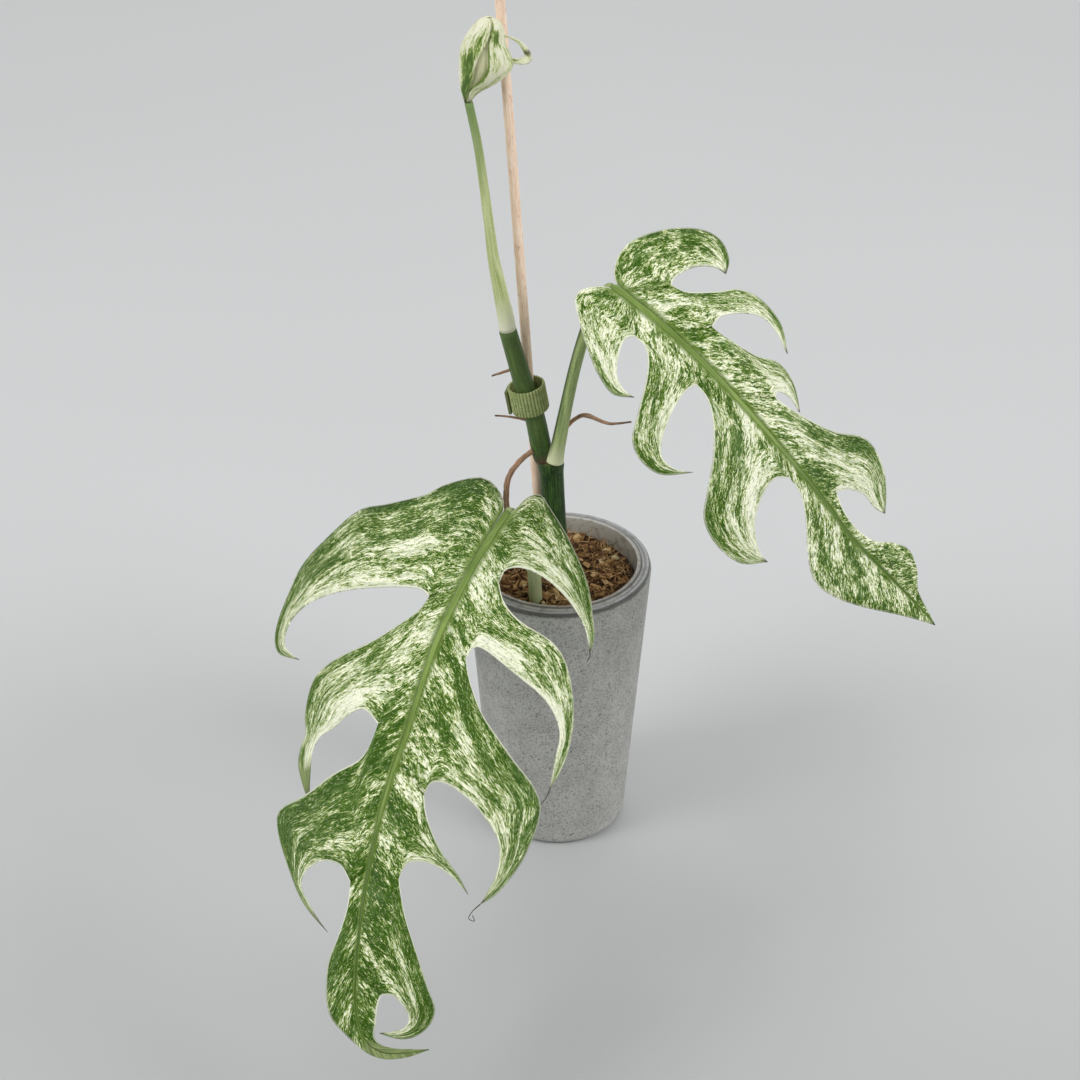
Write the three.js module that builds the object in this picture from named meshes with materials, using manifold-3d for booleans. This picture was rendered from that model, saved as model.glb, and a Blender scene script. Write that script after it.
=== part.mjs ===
// A potted climbing aroid with pale marbled, deeply lobed leaves, held to a thin wooden stick, in a clear
// nursery pot that hangs by its rim in a tapered stone-grey outer pot.
// Millimetres, +Z up. The origin is the middle of the outer pot's underside, +X is the viewer's right
// and +Y points away from the viewer.

import * as THREE from "three";
import { mergeVertices } from "three/addons/utils/BufferGeometryUtils.js";
import Module from "manifold-3d";

const wasm = await Module();
wasm.setup();

// Driving dimensions
const POT = { height: 181, topRadius: 55, baseRadius: 42, wall: 4, floor: 3.5, foot: 34, rounding: 8 };
const LINER = { rimRadius: 54.2, wallTop: 47.6, wallBase: 36, wall: 1.1, rimHeight: 3.9, mouth: 46.5 };
const SOIL = { top: 175, bottom: 6.5, chips: 46, chipReach: 40 };
const STAKE = { radius: 2.75, foot: [-0.5, 8.5, 40], top: [-32.7, 10.4, 545] };
const TIE = { centre: [-17.5, 3, 295], inner: 9.3, wall: 1.5, width: 16, lean: 10 };
const GAP = 0.3;
const BLADE = 0.9;

const STEM_PATH = [[4, -6, 118], [1, -4.5, 170], [-2.5, -2, 215], [-4.4, 0, 252]];
const STEM_RADII = [6.2, 7.1, 6.8, 6.9];
const SHOOT_PATH = [[-8, 0, 256], [-10, 0, 262], [-14, 0, 284], [-20.1, 0, 305], [-28.9, 0, 339.5]];
const SHOOT_RADII = [6.2, 6, 5.7, 5.6, 4.9];

const UPPER_STALK = [[-2.6, -3, 256.6], [-0.8, -4, 265], [4, -5, 294], [9.5, -6, 323], [15.6, -8.5, 348],
  [22, -11.5, 366], [28.2, -18.4, 377.1]];
const UPPER_STALK_RADII = [5.6, 4.3, 3.6, 3.4, 3.3, 3.4, 3.0];
const LOWER_STALK = [[-10, -20, 126], [-13.2, -26, 171], [-14.5, -27, 195], [-18.4, -29, 219],
  [-25.5, -33, 237], [-29.8, -40.8, 244.9]];
const LOWER_STALK_RADII = [3.2, 3.9, 3.9, 3.8, 3.7, 3.0];
const NEW_STALK = [[-28.9, 0, 340], [-33, 0, 365], [-36.2, 0, 383], [-38.4, 0, 403], [-41.6, 0, 432],
  [-44.2, 0, 453], [-48.6, 0, 476.9]];
const NEW_STALK_RADII = [4.7, 4.0, 3.3, 2.8, 2.5, 2.4, 2.3];

// Each aerial root: its path and its radius from the stem to the dry tip
const ROOTS = [
  { path: [[-15.4, -3.5, 262.5], [-21.8, -9, 260], [-28.6, -12, 251], [-30.4, -14, 239], [-29.3, -15, 226],
    [-26, -13, 211], [-24, -12, 200]], radii: [1.5, 1.6, 1.7, 1.7, 1.6, 1.4, 0.6] },
  { path: [[1.2, -0.8, 271], [6.4, 1.2, 278.6], [12, 0.5, 283.5], [17, -1, 284.5], [28.2, -5, 282],
    [41, -6, 283.6]],
    radii: [1.2, 1.3, 1.5, 1.6, 1.1, 0.6] },
  { path: [[-28.1, -0.5, 314.4], [-32, -1.5, 313.4], [-38, -3, 312]], radii: [0.9, 0.8, 0.5] },
  { path: [[-18.9, 0.6, 281], [-25, 0.4, 282.6], [-31, -1, 284.4], [-36.5, -2, 285.4]],
    radii: [0.8, 0.7, 0.6, 0.5] },
];

// Leaves. A blade is drawn flat as points of [distance along the midrib, distance out from it], then wrapped
// round its midrib: it rises by the fold angle beside the rib and then droops, in degrees per 100 mm.
// A lobe runs from one bay (near) to the next (far) and both its edges end in its tip. Its root is the
// stretch of midrib that feeds it, sag is how far its tip hangs below the blade, and lag is how much later
// the shorter far edge comes to a place across from the near edge.
const LOWER_LEAF = {
  midrib: [[-29.5, -42, 246], [-49, -87, 237], [-67, -133, 221], [-81, -179, 198], [-93, -213, 175],
    [-101, -243, 149], [-105, -266, 126], [-106.5, -284, 103], [-106, -299, 80]],
  facing: [-0.1, -0.55, 0.83],
  fold: 8,
  droop: { left: 50, right: 50 },
  rib: 2.4,
  lobes: [
    { side: 1, root: [0, 62], near: [[-8, 6], [-17, 17], [-17, 27], [-5, 42], [6, 50], [15, 69], [18, 89],
      [36, 102], [53, 114], [77, 112], [101, 107], [116, 95]], tip: [122, 76],
      far: [[76, 14], [73, 22], [78, 46], [83, 70], [90, 89], [100, 96], [112, 92]], sag: 0, lag: 1.3 },
    { side: 1, root: [62, 143], near: [[76, 14], [88, 17], [108, 33], [123, 56], [135, 64], [156, 63],
      [168, 59], [177, 60], [187, 58]], tip: [203, 46],
      far: [[157, 16], [150, 26], [154, 34], [163, 42], [170, 50], [179, 52], [189, 50]], sag: 12, lag: 2.3 },
    { side: 1, root: [143, 234], near: [[157, 16], [177, 18], [189, 30], [202, 43], [211, 56], [222, 54],
      [240, 43], [255, 32]], tip: [268, 17],
      far: [[242, 8], [234, 15], [233, 25], [239, 33], [247, 31], [257, 23]], sag: 3, lag: 2.2 },
    { side: -1, root: [0, 36], near: [[-5, 4], [-15, 6], [-20, 12], [-12, 22], [4, 41], [24, 62], [46, 75],
      [57, 80]], tip: [66, 81],
      far: [[53, 18], [43, 18], [37, 26], [37, 41], [43, 58], [54, 73]], sag: 2, lag: 1.8 },
    { side: -1, root: [36, 90], near: [[53, 18], [65, 26], [73, 39], [77, 61], [91, 75], [117, 85],
      [143, 88]], tip: [163, 84],
      far: [[108, 19], [99, 21], [99, 28], [107, 46], [117, 68], [131, 80], [146, 82]], sag: 2, lag: 1.7 },
    { side: -1, root: [90, 176], near: [[108, 19], [123, 26], [140, 38], [155, 57], [167, 76], [180, 82],
      [210, 79], [233, 69]], tip: [243, 60],
      far: [[189, 20], [181, 22], [180, 32], [188, 49], [204, 63], [221, 66], [234, 63]], sag: -5, lag: 2.0 },
    { side: -1, root: [176, 222], near: [[189, 20], [201, 25], [216, 35], [229, 48]], tip: [238, 55],
      far: [[236, 17], [227, 20], [225, 31], [229, 43]], sag: 4, lag: 1.5 },
    { side: -1, root: [222, 287], near: [[236, 17], [255, 23], [274, 31], [293, 38], [305, 42], [315, 39],
      [321, 31], [322, 22]], tip: [319, 12],
      far: [[298, 14], [298, 20], [303, 25], [310, 28], [316, 26], [318, 20]], sag: 4, lag: 2.2 },
  ],
  end: {
    line: [[290, 0], [301, 0], [310, -1], [318, -3], [324, -7], [328, -14], [328.5, -24], [327, -38]],
    left: { from: 234, lag: 1, edge: [[242, 8], [256, 8], [270, 11], [284, 15], [301, 15], [311, 12],
      [318, 6], [324, 0], [329, -7], [331.5, -16], [330.5, -27], [327, -38]] },
    right: { from: 287, lag: 1, edge: [[298, -14], [304, -12], [313, -11], [320, -10], [324, -13], [326, -20],
      [326.5, -28], [327, -38]] },
  },
};
const UPPER_LEAF = {
  midrib: [[29, -20, 378], [61, -43, 361], [95, -63, 333], [125, -77, 302], [141, -82, 283], [160, -87, 258],
    [181, -91, 236], [201, -93, 214], [209, -93, 204]],
  facing: [0.3, -0.6, 0.75],
  fold: 8,
  droop: { left: 50, right: 30 },
  rib: 2.2,
  lobes: [
    { side: 1, root: [0, 16], near: [[-4, 5], [-10, 14], [-9, 22], [1, 30], [14, 39], [29, 47], [43, 50]],
      tip: [53, 43], far: [[30, 17], [27, 22], [31, 32], [38, 41], [46, 44]], sag: 2, lag: 1.6 },
    { side: 1, root: [16, 60], near: [[30, 17], [38, 18], [48, 28], [62, 51], [69, 61], [80, 65], [93, 62]],
      tip: [104, 48], far: [[71, 13], [70, 23], [75, 40], [84, 54], [95, 55]], sag: 2, lag: 2.0 },
    { side: 1, root: [60, 134], near: [[71, 13], [80, 14], [90, 20], [104, 34], [117, 51], [126, 61],
      [141, 65], [157, 61]], tip: [168, 49],
      far: [[143, 8], [137, 15], [138, 27], [146, 42], [158, 49]], sag: 2, lag: 2.0 },
    { side: -1, root: [0, 10], near: [[-6, 7], [-11, 18], [-11, 32], [-3, 51], [9, 66], [21, 69], [33, 62]],
      tip: [38, 53], far: [[23, 22], [21, 28], [24, 42], [31, 51]], sag: 3, lag: 1.5 },
    { side: -1, root: [10, 42], near: [[23, 22], [32, 25], [43, 38], [50, 49], [63, 55], [80, 53]],
      tip: [94, 43], far: [[55, 19], [54, 27], [60, 38], [70, 47], [82, 47]], sag: 2, lag: 1.6 },
    { side: -1, root: [42, 92], near: [[55, 19], [66, 21], [82, 26], [94, 34], [108, 33]], tip: [122, 25],
      far: [[106, 17], [105, 21], [112, 25]], sag: 4, lag: 1.5 },
    { side: -1, root: [92, 160], near: [[106, 17], [123, 22], [144, 32], [162, 46], [180, 44], [194, 36]],
      tip: [202, 27], far: [[168, 9], [173, 17], [182, 23], [193, 24]], sag: 3, lag: 1.8 },
  ],
  end: {
    line: [[240, 0], [252, 0], [267, 0]],
    left: { from: 134, lag: 1.1, edge: [[143, 8], [154, 10], [165, 17], [178, 27], [191, 35], [203, 34],
      [221, 26], [243, 13], [267, 0]] },
    right: { from: 160, lag: 1.3, edge: [[168, -9], [180, -6], [194, -6], [206, -9], [215, -16], [226, -20],
      [237, -15], [246, -6], [267, 0]] },
  },
};
const LOBE_ROWS = 13;
const LOBE_COLUMNS = 5;
const BAY_ROWS = 2;
const RIB_STEPS = 20;
const END_STEPS = [5, 9];

// The youngest leaf is still rolled: rows of its left and right outline, from the stalk up to the top, and
// the angles at which its two free edges meet on the front, measured round from the left side.
const ROLL = [
  { left: [-50.2, 477.4], right: [-48.4, 477.4], open: 80, shut: 100 },
  { left: [-52.2, 485], right: [-43.5, 483], open: 74, shut: 82 },
  { left: [-52.8, 493], right: [-33, 489.5], open: 70, shut: 92 },
  { left: [-52.7, 500], right: [-26, 497], open: 66, shut: 94 },
  { left: [-51.9, 507], right: [-27, 504], open: 76, shut: 98 },
  { left: [-49.6, 513], right: [-29.6, 510], open: 92, shut: 101 },
  { left: [-46, 518.5], right: [-30.2, 516], open: 99, shut: 104 },
  { left: [-42.5, 522.4], right: [-31.5, 520.8], open: 97, shut: 107 },
  { left: [-38.6, 524.2], right: [-35.6, 523.8], open: 90, shut: 114 },
];
const ROLL_DEPTH = 0.62;
const CURL = { path: [[-31.5, 0, 514], [-27, -0.5, 513.8], [-22.6, -1, 511.8], [-18.9, -1.6, 508],
  [-17, -2, 503.6], [-18.6, -1.6, 501.2], [-22.4, -0.8, 500.4], [-28.6, 0, 500.6]],
  radii: [1, 1.2, 1.8, 2.6, 3, 2.2, 1.6, 1.3], thin: 0.4 };

// Materials
const finish = (color, roughness, extra = {}) =>
  new THREE.MeshStandardMaterial({ color, roughness, metalness: 0, ...extra });
const MATERIALS = {
  stone: finish(0x8f9091, 0.9),
  clear: finish(0xd8dcdd, 0.15, { transparent: true, opacity: 0.45 }),
  soil: finish(0x4e3626, 0.95),
  stem: finish(0x2f5a24, 0.5),
  stalk: finish(0x7f9a62, 0.5),
  youngStalk: finish(0x9bb56a, 0.5),
  blade: finish(0xa9bf86, 0.4),
  root: finish(0x8a6249, 0.8),
  wood: finish(0xe6cbae, 0.75),
  tie: finish(0x8b9a5c, 0.9),
};

const vector = (point) => new THREE.Vector3(...point);
const spline = (points) => new THREE.CatmullRomCurve3(points.map(vector), false, "catmullrom", 0.5);
const mix = (from, to, share) => from + (to - from) * share;
const radians = THREE.MathUtils.degToRad;

// A geometry from a list of points and a list of triangles of point numbers
function meshOf(points, triangles) {
  const geometry = new THREE.BufferGeometry();
  const coordinates = points.flatMap((point) => point.toArray());
  geometry.setAttribute("position", new THREE.Float32BufferAttribute(coordinates, 3));
  geometry.setIndex(triangles.flat());
  return geometry;
}

// A closed three.js geometry as a solid that can be joined and cut, and back
function toSolid(geometry) {
  const bare = geometry.clone();
  bare.deleteAttribute("normal");
  bare.deleteAttribute("uv");
  const merged = mergeVertices(bare, 1e-4);
  const corners = merged.index.array;
  const kept = [];
  for (let i = 0; i < corners.length; i += 3) {
    const [a, b, c] = corners.slice(i, i + 3);
    if (a !== b && b !== c && c !== a) kept.push(a, b, c);
  }
  const vertProperties = new Float32Array(merged.attributes.position.array);
  return new wasm.Manifold(new wasm.Mesh({ numProp: 3, vertProperties, triVerts: new Uint32Array(kept) }));
}

function toGeometry(solid) {
  const { vertProperties, triVerts } = solid.getMesh();
  const geometry = new THREE.BufferGeometry();
  geometry.setAttribute("position", new THREE.BufferAttribute(new Float32Array(vertProperties), 3));
  geometry.setIndex(new THREE.BufferAttribute(new Uint32Array(triVerts), 1));
  return geometry;
}

// A closed net as a solid, turned the right way out
function outward(points, triangles) {
  const solid = toSolid(meshOf(points, triangles));
  if (solid.volume() > 0) return solid;
  return toSolid(meshOf(points, triangles.map(([a, b, c]) => [a, c, b])));
}

// The biggest piece that is left of a solid once its neighbours are cut away
function carve(solid, cutters) {
  const cut = cutters.reduce((rest, cutter) => rest.subtract(cutter), solid);
  return cut.decompose().sort((a, b) => b.volume() - a.volume())[0];
}

// A round or flattened rod along a path, closed by a point at each end
function rod(path, radii, { sides = 8, steps = 3, grow = 0, thin = 1 } = {}) {
  const curve = spline(path);
  const count = (path.length - 1) * steps;
  const frames = curve.computeFrenetFrames(count, false);
  const points = [];
  for (let i = 0; i <= count; i++) {
    const place = (i / count) * (path.length - 1);
    const knot = Math.min(Math.floor(place), path.length - 2);
    const radius = mix(radii[knot], radii[knot + 1], place - knot) + grow;
    const centre = curve.getPoint(i / count);
    for (let k = 0; k < sides; k++) {
      const angle = (k / sides) * 2 * Math.PI;
      points.push(centre.clone()
        .addScaledVector(frames.normals[i], radius * Math.cos(angle) * thin)
        .addScaledVector(frames.binormals[i], radius * Math.sin(angle)));
    }
  }
  const start = points.push(curve.getPoint(0)) - 1;
  const end = points.push(curve.getPoint(1)) - 1;
  const triangles = [];
  for (let k = 0; k < sides; k++) {
    const next = (k + 1) % sides;
    for (let i = 0; i < count; i++) {
      const [a, b, c, d] = [i * sides + k, i * sides + next, (i + 1) * sides + next, (i + 1) * sides + k];
      triangles.push([a, b, c], [a, c, d]);
    }
    triangles.push([start, next, k], [end, count * sides + k, count * sides + next]);
  }
  return outward(points, triangles);
}

// A turned solid from its profile of [radius, height] points
function turned(profile, segments) {
  const closed = [...profile, profile[0]].map(([radius, height]) => new THREE.Vector2(radius, height));
  const lathe = new THREE.LatheGeometry(closed, segments).rotateX(Math.PI / 2);
  const solid = toSolid(lathe);
  if (solid.volume() > 0) return solid;
  const flipped = lathe.index.array.slice().reverse();
  return toSolid(lathe.setIndex(new THREE.BufferAttribute(flipped, 1)));
}

// Random numbers that come out alike on every run
function seeded(seed) {
  let state = seed;
  return () => {
    state = (state * 1664525 + 1013904223) % 4294967296;
    return state / 4294967296;
  };
}

// Outer pot: tapered wall, rounded foot, closed flat floor
function outerPot() {
  const { height, topRadius, baseRadius, wall, floor, foot, rounding } = POT;
  const profile = [[0, 0], [foot, 0]];
  for (const degrees of [30, 60, 90]) {
    const angle = radians(degrees);
    profile.push([foot + rounding * Math.sin(angle), rounding * (1 - Math.cos(angle))]);
  }
  const inner = baseRadius - wall;
  profile.push([topRadius - 0.3, height - 1], [topRadius - 1, height], [topRadius - wall, height]);
  profile.push([inner, floor + 1], [inner - 1, floor], [0, floor]);
  return turned(profile, 40);
}

// Clear liner: thin wall, a rolled rim that rests on the outer pot, and drain holes in its floor
function linerPot() {
  const { rimRadius, wallTop, wallBase, wall, rimHeight, mouth } = LINER;
  const seat = POT.height + GAP;
  const rim = seat + rimHeight;
  const bottom = POT.floor + GAP;
  const shell = turned([[0, bottom], [wallBase, bottom], [wallTop, seat], [rimRadius - 0.6, seat],
    [rimRadius, seat + 0.8], [rimRadius, rim - 1.2], [rimRadius - 0.9, rim - 0.4], [rimRadius - 2.4, rim - 1],
    [mouth + 1.4, rim], [mouth, rim - 0.7], [mouth, seat - 2], [wallBase - wall, bottom + wall],
    [0, bottom + wall]], 32);
  const holes = [0, 60, 120, 180, 240, 300].map((degrees) => {
    const drill = new THREE.CylinderGeometry(4, 4, 6, 8).rotateX(Math.PI / 2);
    const angle = radians(degrees);
    return toSolid(drill.translate(24 * Math.cos(angle), 24 * Math.sin(angle), bottom));
  });
  return holes.reduce((rest, hole) => rest.subtract(hole), shell);
}

// Potting mix: fills the liner, with bark chips standing out of its top and plain holes for what grows in it
function pottingMix(rooted) {
  const { wallTop, wallBase, wall } = LINER;
  const inside = (z) => mix(wallBase - wall, wallTop - wall, (z - 5) / (POT.height - 5)) - 2 * GAP;
  const { top, bottom, chips, chipReach } = SOIL;
  let mound = turned([[0, bottom], [inside(bottom), bottom], [inside(top - 2), top - 2], [37, top - 0.4],
    [19, top + 1.6], [0, top + 2]], 28);
  const draw = seeded(7);
  const lumps = [];
  for (let i = 0; i < chips; i++) {
    const reach = chipReach * Math.sqrt(draw());
    const heading = draw() * 2 * Math.PI;
    const chip = new THREE.BoxGeometry(4 + 6 * draw(), 2.5 + 3 * draw(), 2 + 1.6 * draw());
    chip.rotateX((draw() - 0.5) * 0.9).rotateY((draw() - 0.5) * 0.9).rotateZ(draw() * Math.PI);
    chip.translate(reach * Math.cos(heading), reach * Math.sin(heading), top + 0.2 + draw());
    lumps.push(toSolid(chip));
  }
  mound = lumps.reduce((whole, lump) => whole.add(lump), mound);
  return carve(mound, rooted);
}

// The midrib as a frame: place, direction, sideways and outwards at a distance along it, and past its ends
function ribFrame(leaf) {
  const curve = spline(leaf.midrib);
  curve.arcLengthDivisions = 400;
  const length = curve.getLength();
  const facing = vector(leaf.facing).normalize();
  const at = (along) => {
    const share = THREE.MathUtils.clamp(along / length, 0, 1);
    const forward = curve.getTangentAt(share);
    const side = new THREE.Vector3().crossVectors(forward, facing).normalize();
    const out = new THREE.Vector3().crossVectors(side, forward);
    const place = curve.getPointAt(share).addScaledVector(forward, along - share * length);
    return { place, forward, side, out };
  };
  return { length, at };
}

// A flat point of the blade wrapped round the midrib: its place and the blade's normal there
function wrap(leaf, frame, along, out) {
  const { place, side, out: up } = frame.at(along);
  const hand = Math.sign(out) || 1;
  const fold = radians(leaf.fold);
  const bend = radians(hand > 0 ? leaf.droop.left : leaf.droop.right) / 100;
  const angle = fold - bend * Math.abs(out);
  const reach = (Math.sin(fold) - Math.sin(angle)) / bend;
  const rise = (Math.cos(angle) - Math.cos(fold)) / bend;
  const point = place.addScaledVector(side, hand * reach).addScaledVector(up, rise);
  const slope = out === 0 ? 0 : hand * Math.sin(angle);
  const normal = up.clone().multiplyScalar(Math.cos(angle)).addScaledVector(side, -slope).normalize();
  return { point, normal };
}

const flatCurve = (points) => new THREE.SplineCurve(points.map(([a, b]) => new THREE.Vector2(a, b)));
const ribWidth = (frame, along) => 2.2 * THREE.MathUtils.clamp(1 - along / frame.length, 0, 1) + 0.25;

// Both edges of a lobe from the midrib to the tip, as flat points for a share of the way
function lobeEdges(lobe, frame) {
  const rootNear = [lobe.root[0], ribWidth(frame, lobe.root[0])];
  const rootFar = [lobe.root[1], ribWidth(frame, lobe.root[1])];
  const whole = flatCurve([rootNear, ...lobe.near, lobe.tip]);
  const near = flatCurve([...lobe.near, lobe.tip]);
  const far = flatCurve([...lobe.far, lobe.tip]);
  const bay = BAY_ROWS / LOBE_ROWS;
  const follow = (root, start, edge, share, lag) => {
    const free = (share - bay) / (1 - bay);
    if (free >= 0) return edge.getPointAt(mix(free, free ** lag, free));
    return new THREE.Vector2(mix(root[0], start[0], share / bay), mix(root[1], start[1], share / bay));
  };
  return (share) => {
    const start = lobe.root[0] === 0 ? whole.getPointAt(share)
      : follow(rootNear, lobe.near[0], near, share, 1);
    return [start, follow(rootFar, lobe.far[0], far, share, lobe.lag)];
  };
}

// The leaf's middle surface as one net of points with normals, each with its own depth below the surface
function bladeNet(leaf) {
  const frame = ribFrame(leaf);
  const points = [];
  const triangles = [];
  const known = new Map();
  const add = (point, normal, depth) => {
    const key = [point.x, point.y, point.z].map((value) => Math.round(value * 500)).join();
    if (!known.has(key)) known.set(key, points.push({ point, normal, depth }) - 1);
    return known.get(key);
  };
  const face = (a, b, c, hand) => {
    if (a !== b && b !== c && c !== a) triangles.push(hand > 0 ? [a, b, c] : [a, c, b]);
  };
  const grid = (rows, hand) => {
    for (let i = 0; i + 1 < rows.length; i++) {
      for (let j = 0; j + 1 < rows[i].length; j++) {
        face(rows[i][j], rows[i + 1][j], rows[i + 1][j + 1], hand);
        face(rows[i][j], rows[i + 1][j + 1], rows[i][j + 1], hand);
      }
    }
  };
  const ribSides = { 1: [], "-1": [] };

  for (const lobe of leaf.lobes) {
    const edges = lobeEdges(lobe, frame);
    const rows = [];
    for (let i = 0; i <= LOBE_ROWS; i++) {
      const share = i / LOBE_ROWS;
      const [near, far] = edges(share);
      const free = Math.max(0, (i - BAY_ROWS) / (LOBE_ROWS - BAY_ROWS));
      const middle = near.clone().lerp(far, 0.5);
      const hang = wrap(leaf, frame, middle.x, lobe.side * middle.y).normal;
      const row = [];
      for (let j = 0; j <= LOBE_COLUMNS; j++) {
        const flat = near.clone().lerp(far, j / LOBE_COLUMNS);
        const { point, normal } = wrap(leaf, frame, flat.x, lobe.side * flat.y);
        point.addScaledVector(hang, -lobe.sag * free * free);
        row.push(add(point, normal, BLADE / 2));
      }
      rows.push(row);
      if (i === 0) ribSides[lobe.side].push(...row.map((id, j) => [mix(...lobe.root, j / LOBE_COLUMNS), id]));
    }
    grid(rows, lobe.side);
  }

  // The end lobe: the midrib's own line bends off with the tip, and each half hangs on it
  const last = flatCurve(leaf.end.line);
  const bendStart = leaf.end.line[0][0];
  const total = bendStart + last.getLength();
  const stations = (from, steps) => [
    ...Array.from({ length: steps }, (_, i) => mix(from, bendStart, i / steps)),
    ...Array.from({ length: END_STEPS[1] + 1 }, (_, i) => mix(bendStart, total, i / END_STEPS[1])),
  ];
  const centreline = (along) => {
    if (along <= bendStart) return { centre: new THREE.Vector2(along, 0), aside: new THREE.Vector2(0, 1) };
    const share = Math.min(1, (along - bendStart) / (total - bendStart));
    const heading = last.getTangentAt(share);
    return { centre: last.getPointAt(share), aside: new THREE.Vector2(-heading.y, heading.x) };
  };
  for (const [hand, half] of [[1, leaf.end.left], [-1, leaf.end.right]]) {
    const edge = flatCurve(half.edge);
    const rows = [];
    for (const along of stations(half.from, END_STEPS[0])) {
      const rim = edge.getPointAt(((along - half.from) / (total - half.from)) ** half.lag);
      const { centre, aside } = centreline(along);
      const start = centre.addScaledVector(aside, along === total ? 0 : hand * ribWidth(frame, along));
      const row = [];
      for (let j = 0; j <= BAY_ROWS; j++) {
        const flat = start.clone().lerp(rim, j / BAY_ROWS);
        const { point, normal } = wrap(leaf, frame, flat.x, flat.y);
        row.push(add(point, normal, BLADE / 2));
      }
      rows.push(row);
      ribSides[hand].push([along, row[0]]);
    }
    grid(rows, -hand);
  }

  const spine = stations(0, RIB_STEPS).map((along) => {
    const { centre } = centreline(along);
    const { point, normal } = wrap(leaf, frame, centre.x, centre.y);
    return [along, add(point, normal, mix(leaf.rib, BLADE / 2, along / total))];
  });
  for (const hand of [1, -1]) {
    const sideLine = ribSides[hand].filter(([, id], i, all) => i === 0 || id !== all[i - 1][1]);
    let [i, j] = [0, 0];
    while (i + 1 < spine.length || j + 1 < sideLine.length) {
      const stepSpine = j + 1 >= sideLine.length
        || (i + 1 < spine.length && spine[i + 1][0] <= sideLine[j + 1][0]);
      if (stepSpine) {
        face(spine[i][1], sideLine[j][1], spine[i + 1][1], hand);
        i += 1;
      } else {
        face(spine[i][1], sideLine[j][1], sideLine[j + 1][1], hand);
        j += 1;
      }
    }
  }
  return { points, triangles };
}

// A net given its thickness: both faces are split alike and a wall runs round every free edge
function thicken({ points, triangles }, rise = BLADE / 2, extra = 0) {
  const count = points.length;
  const top = points.map(({ point, normal }) => point.clone().addScaledVector(normal, rise + extra));
  const under = points.map(({ point, normal, depth }) =>
    point.clone().addScaledVector(normal, -depth - extra));
  const faces = [...triangles, ...triangles.map(([a, b, c]) => [a + count, c + count, b + count])];
  const edges = new Set(triangles.flatMap(([a, b, c]) => [`${a},${b}`, `${b},${c}`, `${c},${a}`]));
  for (const edge of edges) {
    const [a, b] = edge.split(",").map(Number);
    if (!edges.has(`${b},${a}`)) faces.push([b, a, a + count], [b, a + count, b + count]);
  }
  return outward([...top, ...under], faces);
}

// The rolled young leaf: a cone-like roll with a slit down its front, and one lobe that has sprung free
function rolledLeaf() {
  const columns = 16;
  const points = [];
  const triangles = [];
  ROLL.forEach(({ left, right, open, shut }, i) => {
    const from = new THREE.Vector3(left[0], 0, left[1]);
    const to = new THREE.Vector3(right[0], 0, right[1]);
    const centre = from.clone().lerp(to, 0.5);
    const half = to.clone().sub(from).multiplyScalar(0.5);
    const radius = half.length();
    const depth = new THREE.Vector3(0, -radius * ROLL_DEPTH, 0);
    const lift = half.clone().normalize();
    for (let k = 0; k <= columns; k++) {
      const angle = radians(mix(shut, 360 + open, k / columns));
      const point = centre.clone().addScaledVector(half, -Math.cos(angle));
      point.addScaledVector(depth, Math.sin(angle));
      const normal = lift.clone().multiplyScalar(-Math.cos(angle) * ROLL_DEPTH);
      normal.y = -Math.sin(angle);
      points.push({ point, normal: normal.normalize(), depth: 0 });
      if (i === 0 || k === columns) continue;
      const [a, b] = [(i - 1) * (columns + 1) + k, i * (columns + 1) + k];
      triangles.push([a, b, b + 1], [a, b + 1, a + 1]);
    }
  });
  const roll = thicken({ points, triangles }, BLADE);
  const curl = rod(CURL.path, CURL.radii, { sides: 6, steps: 2, thin: CURL.thin });
  return roll.add(curl);
}

// The tie: a short sleeve of strap round the stem and the stick, its end laid against the left side
function strapTie(held) {
  const { centre, inner, wall, width, lean } = TIE;
  const ring = turned([[inner, -width / 2], [inner + wall, -width / 2], [inner + wall, width / 2],
    [inner, width / 2]], 28);
  const end = new THREE.BoxGeometry(wall, 9, width - 1).rotateZ(radians(-14));
  const tab = toSolid(end.translate(-inner - wall - 0.2, 1.5, -1));
  const strap = toGeometry(ring.add(tab)).rotateY(radians(-lean)).translate(...centre);
  return carve(toSolid(strap), held);
}

// The stem: a thick old length up to the node, and the thinner leaning length above it, grown as one
function vineStem(grow = 0) {
  const old = rod(STEM_PATH, STEM_RADII, { sides: 14, grow });
  const joint = rod([[-4.2, 0, 247], [-4.5, 0, 251], [-5, 0, 255], [-6, 0, 258.5]], [6.9, 7.6, 7.5, 5.6],
    { sides: 14, steps: 1, grow });
  const shoot = rod(SHOOT_PATH, SHOOT_RADII, { sides: 12, grow });
  return old.add(joint).add(shoot);
}

const stake = (grow = 0) => rod([STAKE.foot, STAKE.foot.map((value, i) => mix(value, STAKE.top[i], 0.5)),
  STAKE.top], [STAKE.radius, STAKE.radius, STAKE.radius], { sides: 10, steps: 1, grow });
const upperStalk = (grow = 0) => rod(UPPER_STALK, UPPER_STALK_RADII, { sides: 10, grow });
const lowerStalk = (grow = 0) => rod(LOWER_STALK, LOWER_STALK_RADII, { sides: 10, grow });
const newStalk = (grow = 0) => rod(NEW_STALK, NEW_STALK_RADII, { sides: 10, grow });

const lowerNet = bladeNet(LOWER_LEAF);
const upperNet = bladeNet(UPPER_LEAF);
const fat = (net) => thicken(net, BLADE / 2, GAP);
const fatStem = vineStem(GAP);
const fatStake = stake(GAP);

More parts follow.
